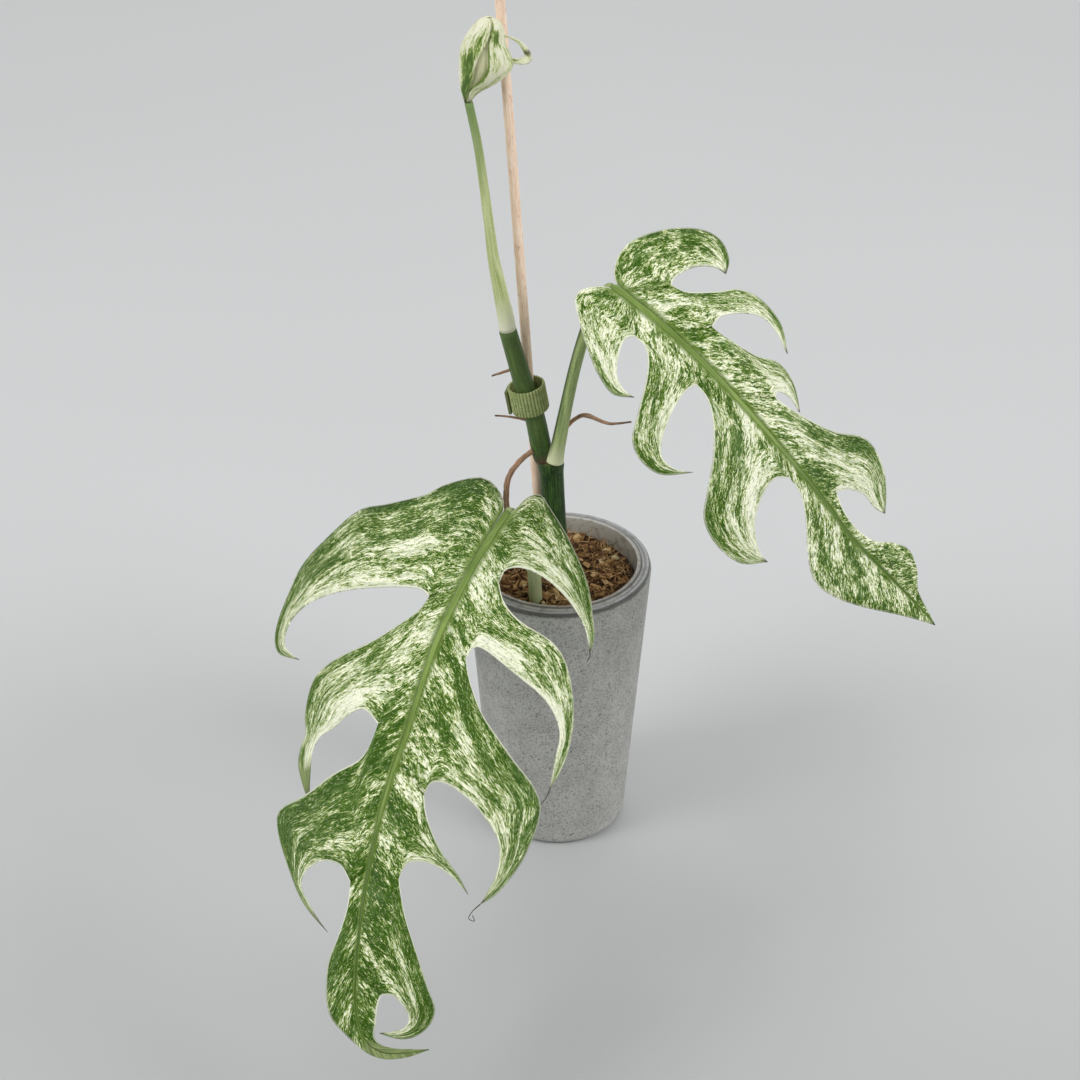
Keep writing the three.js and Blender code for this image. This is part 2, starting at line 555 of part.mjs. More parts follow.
const pieces = {
  outer_pot: [outerPot(), MATERIALS.stone],
  liner_pot: [linerPot(), MATERIALS.clear],
  potting_mix: [pottingMix([fatStem, fatStake, lowerStalk(GAP)]), MATERIALS.soil],
  vine_stem: [vineStem(), MATERIALS.stem],
  petiole_lower: [carve(lowerStalk(), [fat(lowerNet)]), MATERIALS.stalk],
  petiole_upper: [carve(upperStalk(), [fat(upperNet), fatStem]), MATERIALS.stalk],
  petiole_new: [carve(newStalk(), [fatStem]), MATERIALS.youngStalk],
  leaf_lower: [thicken(lowerNet), MATERIALS.blade],
  leaf_upper: [thicken(upperNet), MATERIALS.blade],
  leaf_new: [rolledLeaf(), MATERIALS.blade],
  stake: [stake(), MATERIALS.wood],
  tie: [strapTie([fatStem, fatStake]), MATERIALS.tie],
};
ROOTS.forEach(({ path, radii }, i) => {
  const root = rod(path, radii, { sides: 6, steps: 2 });
  pieces[`aerial_root_${i + 1}`] = [carve(root, [fatStem, upperStalk(GAP)]), MATERIALS.root];
});

const plant = new THREE.Group();
for (const [name, [solid, material]] of Object.entries(pieces)) {
  const mesh = new THREE.Mesh(toGeometry(solid), material);
  mesh.name = name;
  plant.add(mesh);
}

export default plant;
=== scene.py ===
# %% [markdown]
# # A potted climbing aroid
# A climbing plant with pale marbled, deeply lobed leaves stands in a clear nursery liner, which hangs by its
# rim in a tapered grey pot. The CAD model gives every piece its place and size. This lesson gives each piece
# its fine shape and its finish, from the pot up to the youngest leaf.

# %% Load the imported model
import bisect
import math
import random

import bmesh
import bpy
from mathutils import Matrix, Vector, noise


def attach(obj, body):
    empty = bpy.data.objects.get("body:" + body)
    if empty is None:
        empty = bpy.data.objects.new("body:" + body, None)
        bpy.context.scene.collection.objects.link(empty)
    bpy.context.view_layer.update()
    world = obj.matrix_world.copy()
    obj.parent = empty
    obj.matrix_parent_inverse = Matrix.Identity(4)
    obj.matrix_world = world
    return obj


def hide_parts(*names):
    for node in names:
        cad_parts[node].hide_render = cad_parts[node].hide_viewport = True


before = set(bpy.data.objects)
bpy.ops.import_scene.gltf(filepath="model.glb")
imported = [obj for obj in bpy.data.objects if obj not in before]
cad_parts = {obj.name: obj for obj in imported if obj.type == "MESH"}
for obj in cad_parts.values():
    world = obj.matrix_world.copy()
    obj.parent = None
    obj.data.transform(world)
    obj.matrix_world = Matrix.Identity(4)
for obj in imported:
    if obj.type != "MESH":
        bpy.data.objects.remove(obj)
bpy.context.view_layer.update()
MM = 0.001
print("nodes:", len(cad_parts))

# %% [markdown]
# The camera looks down at the plant from the front, with a long lens that keeps parallel lines parallel. Two
# large soft lights stand beside the plant, and a third hangs behind it and shines on the floor there.

# %% Camera and lights
LENS, SENSOR, TILT = 86.667, 36, 33.65
CAMERA_AT = (-0.0109, -1.2717, 1.0456)
PLANT_MIDDLE, FLOOR_BEHIND = (0, -0.05, 0.2), (0.1, 0.9, 0)
LIGHTS = [
    {"name": "light_left", "place": (-1.8, -1.0, 1.7), "size": 1.3, "power": 31, "aim": PLANT_MIDDLE},
    {"name": "light_right", "place": (1.9, -0.9, 1.5), "size": 1.3, "power": 28, "aim": PLANT_MIDDLE},
    {"name": "light_back", "place": (0.2, 1.9, 2.3), "size": 2.2, "power": 19, "aim": FLOOR_BEHIND},
]

camera = bpy.data.objects.new("camera", bpy.data.cameras.new("camera"))
camera.data.lens = LENS
camera.data.sensor_width = SENSOR
camera.data.clip_end = 50
camera.location = CAMERA_AT
camera.rotation_euler = (math.radians(90 - TILT), 0, 0)
bpy.context.scene.collection.objects.link(camera)
bpy.context.scene.camera = camera
bpy.context.scene.view_settings.view_transform = "Standard"

for light in LIGHTS:
    lamp = bpy.data.lights.new(light["name"], "AREA")
    lamp.size = light["size"]
    lamp.energy = light["power"]
    thing = bpy.data.objects.new(light["name"], lamp)
    thing.location = light["place"]
    aim = Vector(light["aim"]) - Vector(light["place"])
    thing.rotation_euler = aim.to_track_quat("-Z", "Y").to_euler()
    bpy.context.scene.collection.objects.link(thing)
print("lights:", len(LIGHTS))

# %% [markdown]
# Materials are built from nodes. A few short helpers keep them readable: one turns colours as read off a
# screen into the linear values that the renderer wants, one makes a node and joins its inputs, and the others
# name the steps that come up again and again.

# %% Colours and nodes
def linear(red, green, blue):
    """A screen colour from 0 to 255 as linear red, green, blue and alpha."""
    parts = [part / 255 for part in (red, green, blue)]
    return (*[p / 12.92 if p <= 0.04045 else ((p + 0.055) / 1.055) ** 2.4 for p in parts], 1)


def node(tree, kind, inputs=None, **settings):
    """A new node with its settings, its inputs set to values or joined to other nodes' outputs."""
    made = tree.nodes.new(kind)
    for name, value in settings.items():
        setattr(made, name, value)
    for name, value in (inputs or {}).items():
        if isinstance(value, bpy.types.NodeSocket):
            tree.links.new(value, made.inputs[name])
        else:
            made.inputs[name].default_value = value
    return made


def calc(tree, operation, first, second=0.0, third=0.0):
    """One step of arithmetic."""
    return node(tree, "ShaderNodeMath", {0: first, 1: second, 2: third}, operation=operation).outputs[0]


# %% Steps that come up again and again
def window(tree, value, low, high):
    """0 below low, 1 above high and a soft step between."""
    inputs = {"Value": value, "From Min": low, "From Max": high}
    return node(tree, "ShaderNodeMapRange", inputs, interpolation_type="SMOOTHSTEP").outputs["Result"]


def below(tree, value, low, high):
    """1 below low, 0 above high and a soft step between."""
    return calc(tree, "SUBTRACT", 1.0, window(tree, value, low, high))


def weighed(tree, first, share, second):
    """Two values added up, the first by its share and the second by the rest."""
    return calc(tree, "MULTIPLY_ADD", first, share, calc(tree, "MULTIPLY", second, 1 - share))


def mixed(tree, factor, first, second):
    """Two colours mixed by a factor."""
    inputs = {0: factor, 6: first, 7: second}
    return node(tree, "ShaderNodeMix", inputs, data_type="RGBA").outputs[2]


def tinted(tree, color, mask, share, tint):
    """A colour that turns towards a tint by a share of a mask."""
    return mixed(tree, calc(tree, "MULTIPLY", mask, share), color, tint)


def ramp(tree, value, stops):
    """A value turned into a colour by a list of (place, colour) stops."""
    made = node(tree, "ShaderNodeValToRGB", {0: value})
    line = made.color_ramp.elements
    while len(line) < len(stops):
        line.new(1.0)
    for stop, (place, color) in zip(line, stops):
        stop.position = place
        stop.color = color
    return made.outputs[0]


# %% Places, carried numbers and clouds
def attribute(tree, name):
    """A number that the mesh carries at each of its points."""
    return node(tree, "ShaderNodeAttribute", attribute_name=name).outputs["Fac"]


def pattern_place(tree):
    """The piece's own pattern coordinates, in millimetres across and along it."""
    return node(tree, "ShaderNodeUVMap", uv_map="pattern").outputs[0]


def object_place(tree):
    """The place in the object, in metres."""
    return node(tree, "ShaderNodeTexCoord").outputs["Object"]


def soft_noise(tree, place, scale, detail):
    """A cloudy pattern from 0 to 1."""
    return node(tree, "ShaderNodeTexNoise", {"Vector": place, "Scale": scale, "Detail": detail}).outputs[0]


# %% Materials
def material(name, slot_color):
    """A material with an empty tree, its Principled shader and a plain colour for the viewport."""
    print("material:", name)
    made = bpy.data.materials.new(name)
    made.use_nodes = True
    made.diffuse_color = slot_color
    shader = made.node_tree.nodes["Principled BSDF"]
    return made, made.node_tree, shader


def feed(tree, shader, color=None, roughness=None, height=None, depth=0.0002, strength=0.6, gloss=0.5):
    """Joins a colour, a roughness and a height to the shader, and sets how much it reflects."""
    shader.inputs["Specular IOR Level"].default_value = gloss
    if color is not None:
        tree.links.new(color, shader.inputs["Base Color"])
    if isinstance(roughness, float):
        shader.inputs["Roughness"].default_value = roughness
    elif roughness is not None:
        tree.links.new(roughness, shader.inputs["Roughness"])
    if height is not None:
        bump = node(tree, "ShaderNodeBump", {"Height": height, "Distance": depth, "Strength": strength})
        tree.links.new(bump.outputs[0], shader.inputs["Normal"])


# %% [markdown]
# Leaves, stalks, the stick and the roots all have marks drawn out along their length. One shader node group
# makes such marks: it squeezes the pattern coordinates across and stretches them along before it reads a
# noise. A second group gives fine round specks for things that are cast or pressed.

# %% A group with named sockets
def group(name, inputs, outputs):
    """An empty shader node group with named inputs (name, kind, default) and outputs (name, kind)."""
    made = bpy.data.node_groups.new(name, "ShaderNodeTree")
    for title, kind, value in inputs:
        socket = made.interface.new_socket(title, in_out="INPUT", socket_type=kind)
        if value is not None:
            socket.default_value = value
    for title, kind in outputs:
        made.interface.new_socket(title, in_out="OUTPUT", socket_type=kind)
    entry = made.nodes.new("NodeGroupInput")
    exit_node = made.nodes.new("NodeGroupOutput")
    return made, entry.outputs, exit_node.inputs


# %% Streaks
FLOAT, VECTOR = "NodeSocketFloat", "NodeSocketVector"
streak_group, given, result = group(
    "streaks",
    [("Place", VECTOR, None), ("Width", FLOAT, 1.0), ("Length", FLOAT, 8.0), ("Roughness", FLOAT, 0.6),
     ("Wobble", FLOAT, 0.6), ("Shift", FLOAT, 0.0)],
    [("Value", FLOAT)],
)
across_and_along = node(streak_group, "ShaderNodeSeparateXYZ", {0: given["Place"]}).outputs
streak_place = node(streak_group, "ShaderNodeCombineXYZ", {
    0: calc(streak_group, "DIVIDE", across_and_along[0], given["Width"]),
    1: calc(streak_group, "DIVIDE", across_and_along[1], given["Length"]),
    2: given["Shift"]}).outputs[0]
streak_noise = node(streak_group, "ShaderNodeTexNoise", {
    "Vector": streak_place, "Scale": 1.0, "Detail": 4.0, "Roughness": given["Roughness"],
    "Distortion": given["Wobble"]})
streak_group.links.new(streak_noise.outputs[0], result["Value"])


def streaks(tree, place, width, length, roughness=0.6, wobble=0.6, shift=0.0):
    """Marks of about that width and length in millimetres, from 0 to 1."""
    inputs = {"Place": place, "Width": width, "Length": length, "Roughness": roughness, "Wobble": wobble,
              "Shift": shift}
    return node(tree, "ShaderNodeGroup", inputs, node_tree=streak_group).outputs[0]


# %% Specks
speck_group, given, result = group(
    "specks",
    [("Place", VECTOR, None), ("Scale", FLOAT, 900.0), ("Share", FLOAT, 0.3)],
    [("Mask", FLOAT), ("Cloud", FLOAT)],
)
speck_cells = node(speck_group, "ShaderNodeTexVoronoi", {"Vector": given["Place"], "Scale": given["Scale"]})
speck_tone = node(speck_group, "ShaderNodeSeparateColor", {0: speck_cells.outputs["Color"]}).outputs[0]
speck_mask = calc(speck_group, "LESS_THAN", speck_tone, given["Share"])
cloud_scale = calc(speck_group, "MULTIPLY", given["Scale"], 0.05)
speck_group.links.new(speck_mask, result["Mask"])
speck_group.links.new(soft_noise(speck_group, given["Place"], cloud_scale, 4.0), result["Cloud"])


def specks(tree, place, scale, share):
    """A mask of fine specks and a soft cloud at a far larger scale."""
    inputs = {"Place": place, "Scale": scale, "Share": share}
    made = node(tree, "ShaderNodeGroup", inputs, node_tree=speck_group)
    return made.outputs["Mask"], made.outputs["Cloud"]


# %% [markdown]
# The floor is a wide pale sheet of paper. Its colour drifts a little, and painted shade greys it towards the
# camera.
# The room's light is dimmer near the horizon, so that the far end of the sheet fades into it.

# %% Floor and room
FLOOR_REACH = 12
PAINTED_SHADE_FRONT, PAINTED_SHADE_BACK = -0.45, 0.35
floor_paper, tree, shader = material("floor_paper", linear(205, 207, 208))
place = object_place(tree)
drift = soft_noise(tree, place, 1.5, 2.0)
paper = mixed(tree, drift, linear(204, 206, 207), linear(209, 211, 212))
depth_in = node(tree, "ShaderNodeSeparateXYZ", {0: place}).outputs[1]
# Painted shade: the paper darkens towards the camera, standing in for the light falling off there.
paper = mixed(tree, window(tree, depth_in, PAINTED_SHADE_FRONT, PAINTED_SHADE_BACK), linear(176, 178, 178), paper)
feed(tree, shader, paper, 0.9)

sheet = bmesh.new()
bmesh.ops.create_grid(sheet, x_segments=4, y_segments=4, size=FLOOR_REACH)
floor_data = bpy.data.meshes.new("floor")
sheet.to_mesh(floor_data)
sheet.free()
floor = bpy.data.objects.new("floor", floor_data)
floor_data.materials.append(floor_paper)
bpy.context.scene.collection.objects.link(floor)

room = bpy.data.worlds.new("room")
room.use_nodes = True
tree = room.node_tree
direction = node(tree, "ShaderNodeTexCoord").outputs["Generated"]
upward = node(tree, "ShaderNodeSeparateXYZ", {0: direction}).outputs[2]
glow = ramp(tree, upward, [(0.0, linear(178, 179, 179)), (0.3, linear(228, 228, 227))])
tree.links.new(glow, tree.nodes["Background"].inputs["Color"])
tree.nodes["Background"].inputs["Strength"].default_value = 0.58
bpy.context.scene.world = room

# %% [markdown]
# Most of this plant grew along lines. A line here is a smooth curve through a few points, as in the CAD
# model, and a ruler finds the place and the heading at any distance along it.

# %% Lines
def smooth_line(points, stretched=True, steps=24):
    """Points on a smooth curve through the given ones. Stretched ends run straight on, others are held."""
    knots = [Vector(point) for point in points]
    if stretched:
        knots = [2 * knots[0] - knots[1], *knots, 2 * knots[-1] - knots[-2]]
    else:
        knots = [knots[0], *knots, knots[-1]]
    line = []
    for before, start, end, after in zip(knots, knots[1:], knots[2:], knots[3:]):
        for i in range(steps):
            t = i / steps
            line.append(0.5 * (2 * start + (end - before) * t
                               + (2 * before - 5 * start + 4 * end - after) * t * t
                               + (3 * start - before - 3 * end + after) * t ** 3))
    line.append(knots[-2].copy())
    return line


class Ruler:
    """A line that can be read at a distance from its start, and a little past both ends."""

    def __init__(self, line):
        self.line = line
        self.marks = [0.0]
        for start, end in zip(line, line[1:]):
            self.marks.append(self.marks[-1] + (end - start).length)
        self.length = self.marks[-1]
        last = len(line) - 1
        self.headings = [(line[min(i + 1, last)] - line[max(i - 1, 0)]).normalized() for i in range(last + 1)]

    def at(self, distance):
        """The place and the heading at that distance."""
        inside = min(max(distance, 0.0), self.length)
        low = min(bisect.bisect_right(self.marks, inside), len(self.marks) - 1) - 1
        share = (inside - self.marks[low]) / max(self.marks[low + 1] - self.marks[low], 1e-9)
        heading = self.headings[low].lerp(self.headings[low + 1], share).normalized()
        return self.line[low].lerp(self.line[low + 1], share) + heading * (distance - inside), heading


# %% [markdown]
# Sheets and tubes both start as a flat grid that is wrapped: each point of the grid is sent to its place on
# the piece. It keeps its pattern coordinates in millimetres, so that streaks follow the shape, and may carry
# numbers for the finish, such as how dry or how pale the piece is there.

# %% Wrapped grids
def blank(*numbers):
    """An empty mesh whose points can carry the named numbers."""
    mesh = bmesh.new()
    for number in numbers:
        mesh.verts.layers.float.new(number)
    return mesh


def wrapped(mesh, columns, rows, place, outward=None):
    """Adds a grid to a mesh and wraps it. place gives a point in millimetres, its pattern place and a dict of
    the numbers it carries. outward says which way the sheet faces."""
    grid = bmesh.ops.create_grid(mesh, x_segments=columns, y_segments=rows, size=0.5)["verts"]
    pattern = mesh.loops.layers.uv.get("pattern") or mesh.loops.layers.uv.new("pattern")
    spots = {}
    for corner in grid:
        column = round((corner.co.x + 0.5) * columns)
        row = round((corner.co.y + 0.5) * rows)
        point, spots[corner], carried = place(column, row)
        corner.co = point * MM
        for name, value in carried.items():
            corner[mesh.verts.layers.float[name]] = value
    faces = {face for corner in grid for face in corner.link_faces}
    for face in faces:
        face.smooth = True
        for loop in face.loops:
            loop[pattern].uv = spots[loop.vert]
    mesh.normal_update()
    if outward is not None and sum((face.normal for face in faces), Vector()).dot(outward) < 0:
        bmesh.ops.reverse_faces(mesh, faces=list(faces))
    return faces


# %% [markdown]
# A finished mesh becomes an object that rides with the plant and stands for one solid of the CAD model. Thin
# sheets get their thickness from a Solidify modifier, which keeps the mesh itself simple.

# %% Finished pieces
def piece(name, mesh, materials, stands_for):
    """The finished mesh as an object that rides with the plant."""
    data = bpy.data.meshes.new(name)
    mesh.to_mesh(data)
    mesh.free()
    thing = bpy.data.objects.new(name, data)
    for finish in materials:
        data.materials.append(finish)
    bpy.context.scene.collection.objects.link(thing)
    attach(thing, "root")
    if stands_for:
        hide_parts(stands_for)
    print(name, len(data.polygons), "faces")
    return thing


def thickened(thing, thickness, offset):
    """Gives a sheet its thickness. Its other side gets the next material."""
    wall = thing.modifiers.new("thickness", "SOLIDIFY")
    wall.thickness = thickness * MM
    wall.offset = offset
    wall.material_offset = 1


def closed(mesh):
    """Joins points that meet and turns every face outwards."""
    bmesh.ops.remove_doubles(mesh, verts=mesh.verts, dist=0.00002)
    bmesh.ops.recalc_face_normals(mesh, faces=mesh.faces)


# %% [markdown]
# Turned things, such as the pots and the strap, are a profile spun once round their axis.

# %% A helper for turned pieces
def spun(mesh, profile, segments):
    """Spins a closed profile of (radius, height) points in millimetres round the vertical axis."""
    corners = [mesh.verts.new((radius * MM, 0, height * MM)) for radius, height in profile]
    edges = [mesh.edges.new(pair) for pair in zip(corners, corners[1:] + corners[:1])]
    bmesh.ops.spin(mesh, geom=corners + edges, cent=(0, 0, 0), axis=(0, 0, 1), angle=2 * math.pi,
                   steps=segments, use_merge=True)
    closed(mesh)
    for face in mesh.faces:
        face.smooth = True


def rounded(profile, radii, steps=3):
    """The closed profile with each corner cut to a small arc, by one radius per corner."""
    smooth = []
    count = len(profile)
    for i, corner in enumerate(profile):
        here = Vector(corner)
        if radii[i] == 0:
            smooth.append(tuple(here))
            continue
        start = here + (Vector(profile[i - 1]) - here).normalized() * radii[i]
        end = here + (Vector(profile[(i + 1) % count]) - here).normalized() * radii[i]
        for k in range(steps + 1):
            t = k / steps
            smooth.append(tuple(start.lerp(here, t).lerp(here.lerp(end, t), t)))
    return smooth


# %% [markdown]
# The outer pot looks like fine cast stone: matt, mid grey and full of dark and light grains of well under a
# millimetre, with a few pin holes. The grain is in the material, because thousands of dents would weigh the
# mesh down, and the pot itself is one profile with a softly rounded foot.

# %% Finish of the outer pot
stone, tree, shader = material("stone", linear(150, 150, 148))
place = object_place(tree)
grains, clouds = specks(tree, place, 1500.0, 0.3)
light_grains = specks(tree, place, 1900.0, 0.25)[0]
pits = specks(tree, place, 760.0, 0.012)[0]
grey = mixed(tree, window(tree, clouds, 0.35, 0.65), linear(168, 168, 164), linear(181, 181, 177))
grey = tinted(tree, grey, grains, 0.55, linear(106, 106, 103))
grey = tinted(tree, grey, light_grains, 0.55, linear(198, 198, 194))
grey = tinted(tree, grey, pits, 0.5, linear(84, 83, 80))
relief = calc(tree, "SUBTRACT", clouds, calc(tree, "ADD", calc(tree, "MULTIPLY", grains, 0.3), pits))
feed(tree, shader, grey, 0.92, relief, depth=0.0003, strength=0.35)

# %% Outer pot
POT_SEGMENTS = 144
POT = {"height": 181, "top": 55, "base": 42, "wall": 4, "floor": 3.5, "foot": 41.2}
pot_profile = rounded(
    [(0, 0), (POT["foot"], 0), (POT["top"], POT["height"]), (POT["top"] - POT["wall"], POT["height"]),
     (POT["base"] - POT["wall"], POT["floor"]), (0, POT["floor"])],
    [0, 6.5, 0.9, 0.7, 1.2, 0], steps=5)
pot_mesh = bmesh.new()
spun(pot_mesh, pot_profile, POT_SEGMENTS)
piece("stone_pot", pot_mesh, [stone], "outer_pot")

# %% [markdown]
# The liner is a thin clear nursery pot. Its rolled rim lies on the grey pot. Bright rings of painted
# highlight run round the rim, with dark lines of painted shade between them and at its outer edge, next to
# the pot.
# The plastic is scuffed and dusty, so it lets only a part of the light through.

# %% Finish of the liner
clear, tree, shader = material("clear_plastic", linear(214, 218, 220))
place = object_place(tree)
scuffs = soft_noise(tree, place, 220.0, 4.0)
feed(tree, shader, None, calc(tree, "MULTIPLY_ADD", scuffs, 0.2, 0.08), scuffs, depth=0.0002, strength=0.15)
parts = node(tree, "ShaderNodeSeparateXYZ", {0: place}).outputs
reach = calc(tree, "SQRT", calc(tree, "ADD", calc(tree, "MULTIPLY", parts[0], parts[0]),
                                calc(tree, "MULTIPLY", parts[1], parts[1])))
# By distance from the axis: the inner wall, then painted highlights and two rings of painted shade on the
# rim.
haze_and_painted_rings = ramp(tree, calc(tree, "MULTIPLY_ADD", reach, 100.0, -4.5),
            [(0.0, linear(242, 236, 222)), (0.3, linear(190, 188, 182)), (0.42, linear(70, 70, 70)),
             (0.5, linear(226, 228, 228)), (0.62, linear(160, 162, 162)), (0.8, linear(206, 208, 208)),
             (0.9, linear(74, 74, 74)), (1.0, linear(136, 136, 136))])
dust_and_painted_rings = tinted(tree, haze_and_painted_rings, window(tree, scuffs, 0.48, 0.64), 0.4, linear(112, 102, 90))
tree.links.new(dust_and_painted_rings, shader.inputs["Base Color"])
shader.inputs["Alpha"].default_value = 0.62

# %% Clear liner
LINER = {"rim": 54.2, "top": 47.6, "base": 36, "wall": 1.1, "rise": 3.9, "mouth": 46.5, "gap": 0.3}
liner_bottom = POT["floor"] + LINER["gap"]
rim_seat = POT["height"] + LINER["gap"]
rim_top = rim_seat + LINER["rise"]
liner_profile = rounded(
    [(0, liner_bottom), (LINER["base"], liner_bottom), (LINER["top"], rim_seat),
     (LINER["rim"], rim_seat), (LINER["rim"], rim_top - 1.5), (LINER["rim"] - 2.6, rim_top - 0.7),
     (LINER["rim"] - 3.3, rim_top - 2.0), (LINER["mouth"] + 2.4, rim_top), (LINER["mouth"], rim_top - 0.3),
     (LINER["mouth"], rim_seat - 2), (LINER["base"] - LINER["wall"], liner_bottom + LINER["wall"]),
     (0, liner_bottom + LINER["wall"])],
    [0, 1, 0.3, 1.1, 1.1, 1.1, 0.6, 1.1, 0.3, 1, 0.5, 0])
liner_mesh = bmesh.new()
spun(liner_mesh, liner_profile, POT_SEGMENTS)
piece("clear_liner", liner_mesh, [clear], "liner_pot")

# %% [markdown]
# The potting mix is coarse bark and coir. A lumpy mound fills the liner, and hundreds of small chips and
# fibres lie on it at random angles, each with its own tone. They have few faces, because they are repeated.

# %% Finish of the potting mix
bark, tree, shader = material("bark_mix", linear(88, 58, 42))
tone = attribute(tree, "tone")
place = object_place(tree)
crumbs = soft_noise(tree, place, 420.0, 6.0)
patches = soft_noise(tree, place, 90.0, 3.0)
shade = calc(tree, "ADD", tone, calc(tree, "MULTIPLY_ADD", crumbs, 0.5, -0.25))
shade = calc(tree, "ADD", shade, calc(tree, "MULTIPLY_ADD", patches, 0.5, -0.25))
brown = ramp(tree, shade, [(0.0, linear(32, 21, 10)), (0.25, linear(80, 54, 28)), (0.48, linear(126, 89, 50)),
                           (0.68, linear(174, 136, 87)), (0.88, linear(206, 177, 127)),
                           (1.0, linear(216, 204, 162))])
feed(tree, shader, brown, 0.93, crumbs, depth=0.0012, strength=0.8)

# %% Mound of potting mix
SOIL = {"top": 174.5, "bottom": 6.5, "edge": 2}
TOP_ROWS, WALL_ROWS, MIX_COLUMNS = 34, 6, 120
MOUND_TONE = 0.22


def liner_inside(height):
    """The radius of the mix at a height, just clear of the liner."""
    share = (height - 5) / (POT["height"] - 5)
    bottom, top = LINER["base"] - LINER["wall"], LINER["top"] - LINER["wall"]
    return bottom + (top - bottom) * share - 0.6


def mound_height(x, y):
    """The height of the mix's top, in millimetres."""
    spot = Vector((x, y, 0))
    heap = 3.5 * math.exp(-((x - 9) ** 2 + (y - 24) ** 2) / 220)
    dip = 2 * math.exp(-((x - 30) ** 2 + (y - 22) ** 2) / 150)
    lumps = 1.5 * noise.noise(spot / 9) + 1.7 * noise.noise(spot / 3.5 + Vector((7, 3, 1)))
    return SOIL["top"] + heap - dip + lumps


def mix_place(column, row):
    """The mix from the middle of its top over the edge and down to the middle of its bottom."""
    turn = column / MIX_COLUMNS * 2 * math.pi
    edge_height = SOIL["top"] - SOIL["edge"]
    if row <= TOP_ROWS:
        reach = liner_inside(edge_height) * row / TOP_ROWS
        x, y = reach * math.cos(turn), reach * math.sin(turn)
        height = mound_height(x, y) if row < TOP_ROWS else edge_height
    elif row <= TOP_ROWS + WALL_ROWS:
        height = edge_height + (SOIL["bottom"] - edge_height) * (row - TOP_ROWS) / WALL_ROWS
        reach = liner_inside(height)
        x, y = reach * math.cos(turn), reach * math.sin(turn)
    else:
        x, y, height, reach = 0.0, 0.0, SOIL["bottom"], 0.0
    return Vector((x, y, height)), (turn * 30, reach), {"tone": MOUND_TONE}


mix_mesh = blank("tone")
mix_tone = mix_mesh.verts.layers.float["tone"]
wrapped(mix_mesh, MIX_COLUMNS, TOP_ROWS + WALL_ROWS + 1, mix_place)
closed(mix_mesh)
print("mound:", len(mix_mesh.faces), "faces")

# %% [markdown]
# Each kind of crumb is a box that is skewed, sized, turned and laid at random. There are small chips, large
# chips, fibres that lie flat, a few hair-thin fibres that stand up beside the liner, and six grains of grit.

# %% Kinds of crumbs
STEM_FOOT = Vector((1.0, -4.5))
CLEAR_OF_STEM = 9
CRUMBS = [
    {"count": 620, "tones": (0.05, 0.2, 0.3, 0.4, 0.5, 0.62), "spread": 0.12, "reach": 42.5, "tilt": 0.7,
     "size": ((1.6, 6.0), (0.9, 2.4), (0.5, 1.4)), "lift": (-0.2, 1.6),
     "skew": [((0, 2), (0.2, 0.15, -0.1)), ((5, 7), (-0.15, 0.2, 0.15))]},
    {"count": 90, "tones": (0.45,), "spread": 0.4, "reach": 41, "tilt": 0.5,
     "size": ((4.5, 9.0), (2.0, 4.0), (0.8, 1.6)), "lift": (0.4, 1.8),
     "skew": [((0, 3), (0.25, -0.15, 0.1))]},
    {"count": 900, "tones": (0.35,), "spread": 0.45, "reach": 42, "tilt": 0.5,
     "size": ((2, 9), (0.2, 0.6), (0.2, 0.5)), "lift": (0.2, 2.2), "skew": []},
]
HAIRS = {"count": 40, "turn": (-0.5, 1.7), "reach": (38, 42), "length": (5, 11), "width": 0.22, "tilt": 0.9,
         "lift": (2.0, 5.5), "tone": 0.5, "spread": 0.4}
GRIT = [(34, 18, 5.0), (28, 24, 3.4), (-20, -12, 2.6), (14, -32, 2.8), (-32, 8, 3.0), (-9, -31, 2.4)]
GRIT_TONE, GRIT_LUMPS, GRIT_TILT, GRIT_LIFT = 1.15, 0.22, 0.5, 1.4
print("crumbs:", sum(crumb["count"] for crumb in CRUMBS) + HAIRS["count"] + len(GRIT))

# %% Laying a crumb
draw = random.Random(11)


def strewn_spot(reach):
    """A random spot on the mix, in millimetres, that keeps off the old stem."""
    while True:
        far = reach * math.sqrt(draw.random())
        turn = draw.random() * 2 * math.pi
        spot = Vector((far * math.cos(turn), far * math.sin(turn)))
        if (spot - STEM_FOOT).length > CLEAR_OF_STEM:
            return spot


def toned(corners, value):
    """Gives every corner of a crumb its tone."""
    for corner in corners:
        corner[mix_tone] = value


def lay(corners, size, spot, tilt, lift):
    """Scales a unit shape, turns it at random and lays it on the mix. All in millimetres."""
    bmesh.ops.scale(mix_mesh, vec=[side * MM for side in size], verts=corners)
    for axis, most in (("X", tilt), ("Y", tilt), ("Z", math.pi)):
        turn = (draw.random() * 2 - 1) * most
        bmesh.ops.rotate(mix_mesh, verts=corners, cent=(0, 0, 0), matrix=Matrix.Rotation(turn, 3, axis))
    height = mound_height(spot.x, spot.y) + lift
    bmesh.ops.translate(mix_mesh, verts=corners, vec=Vector((spot.x, spot.y, height)) * MM)


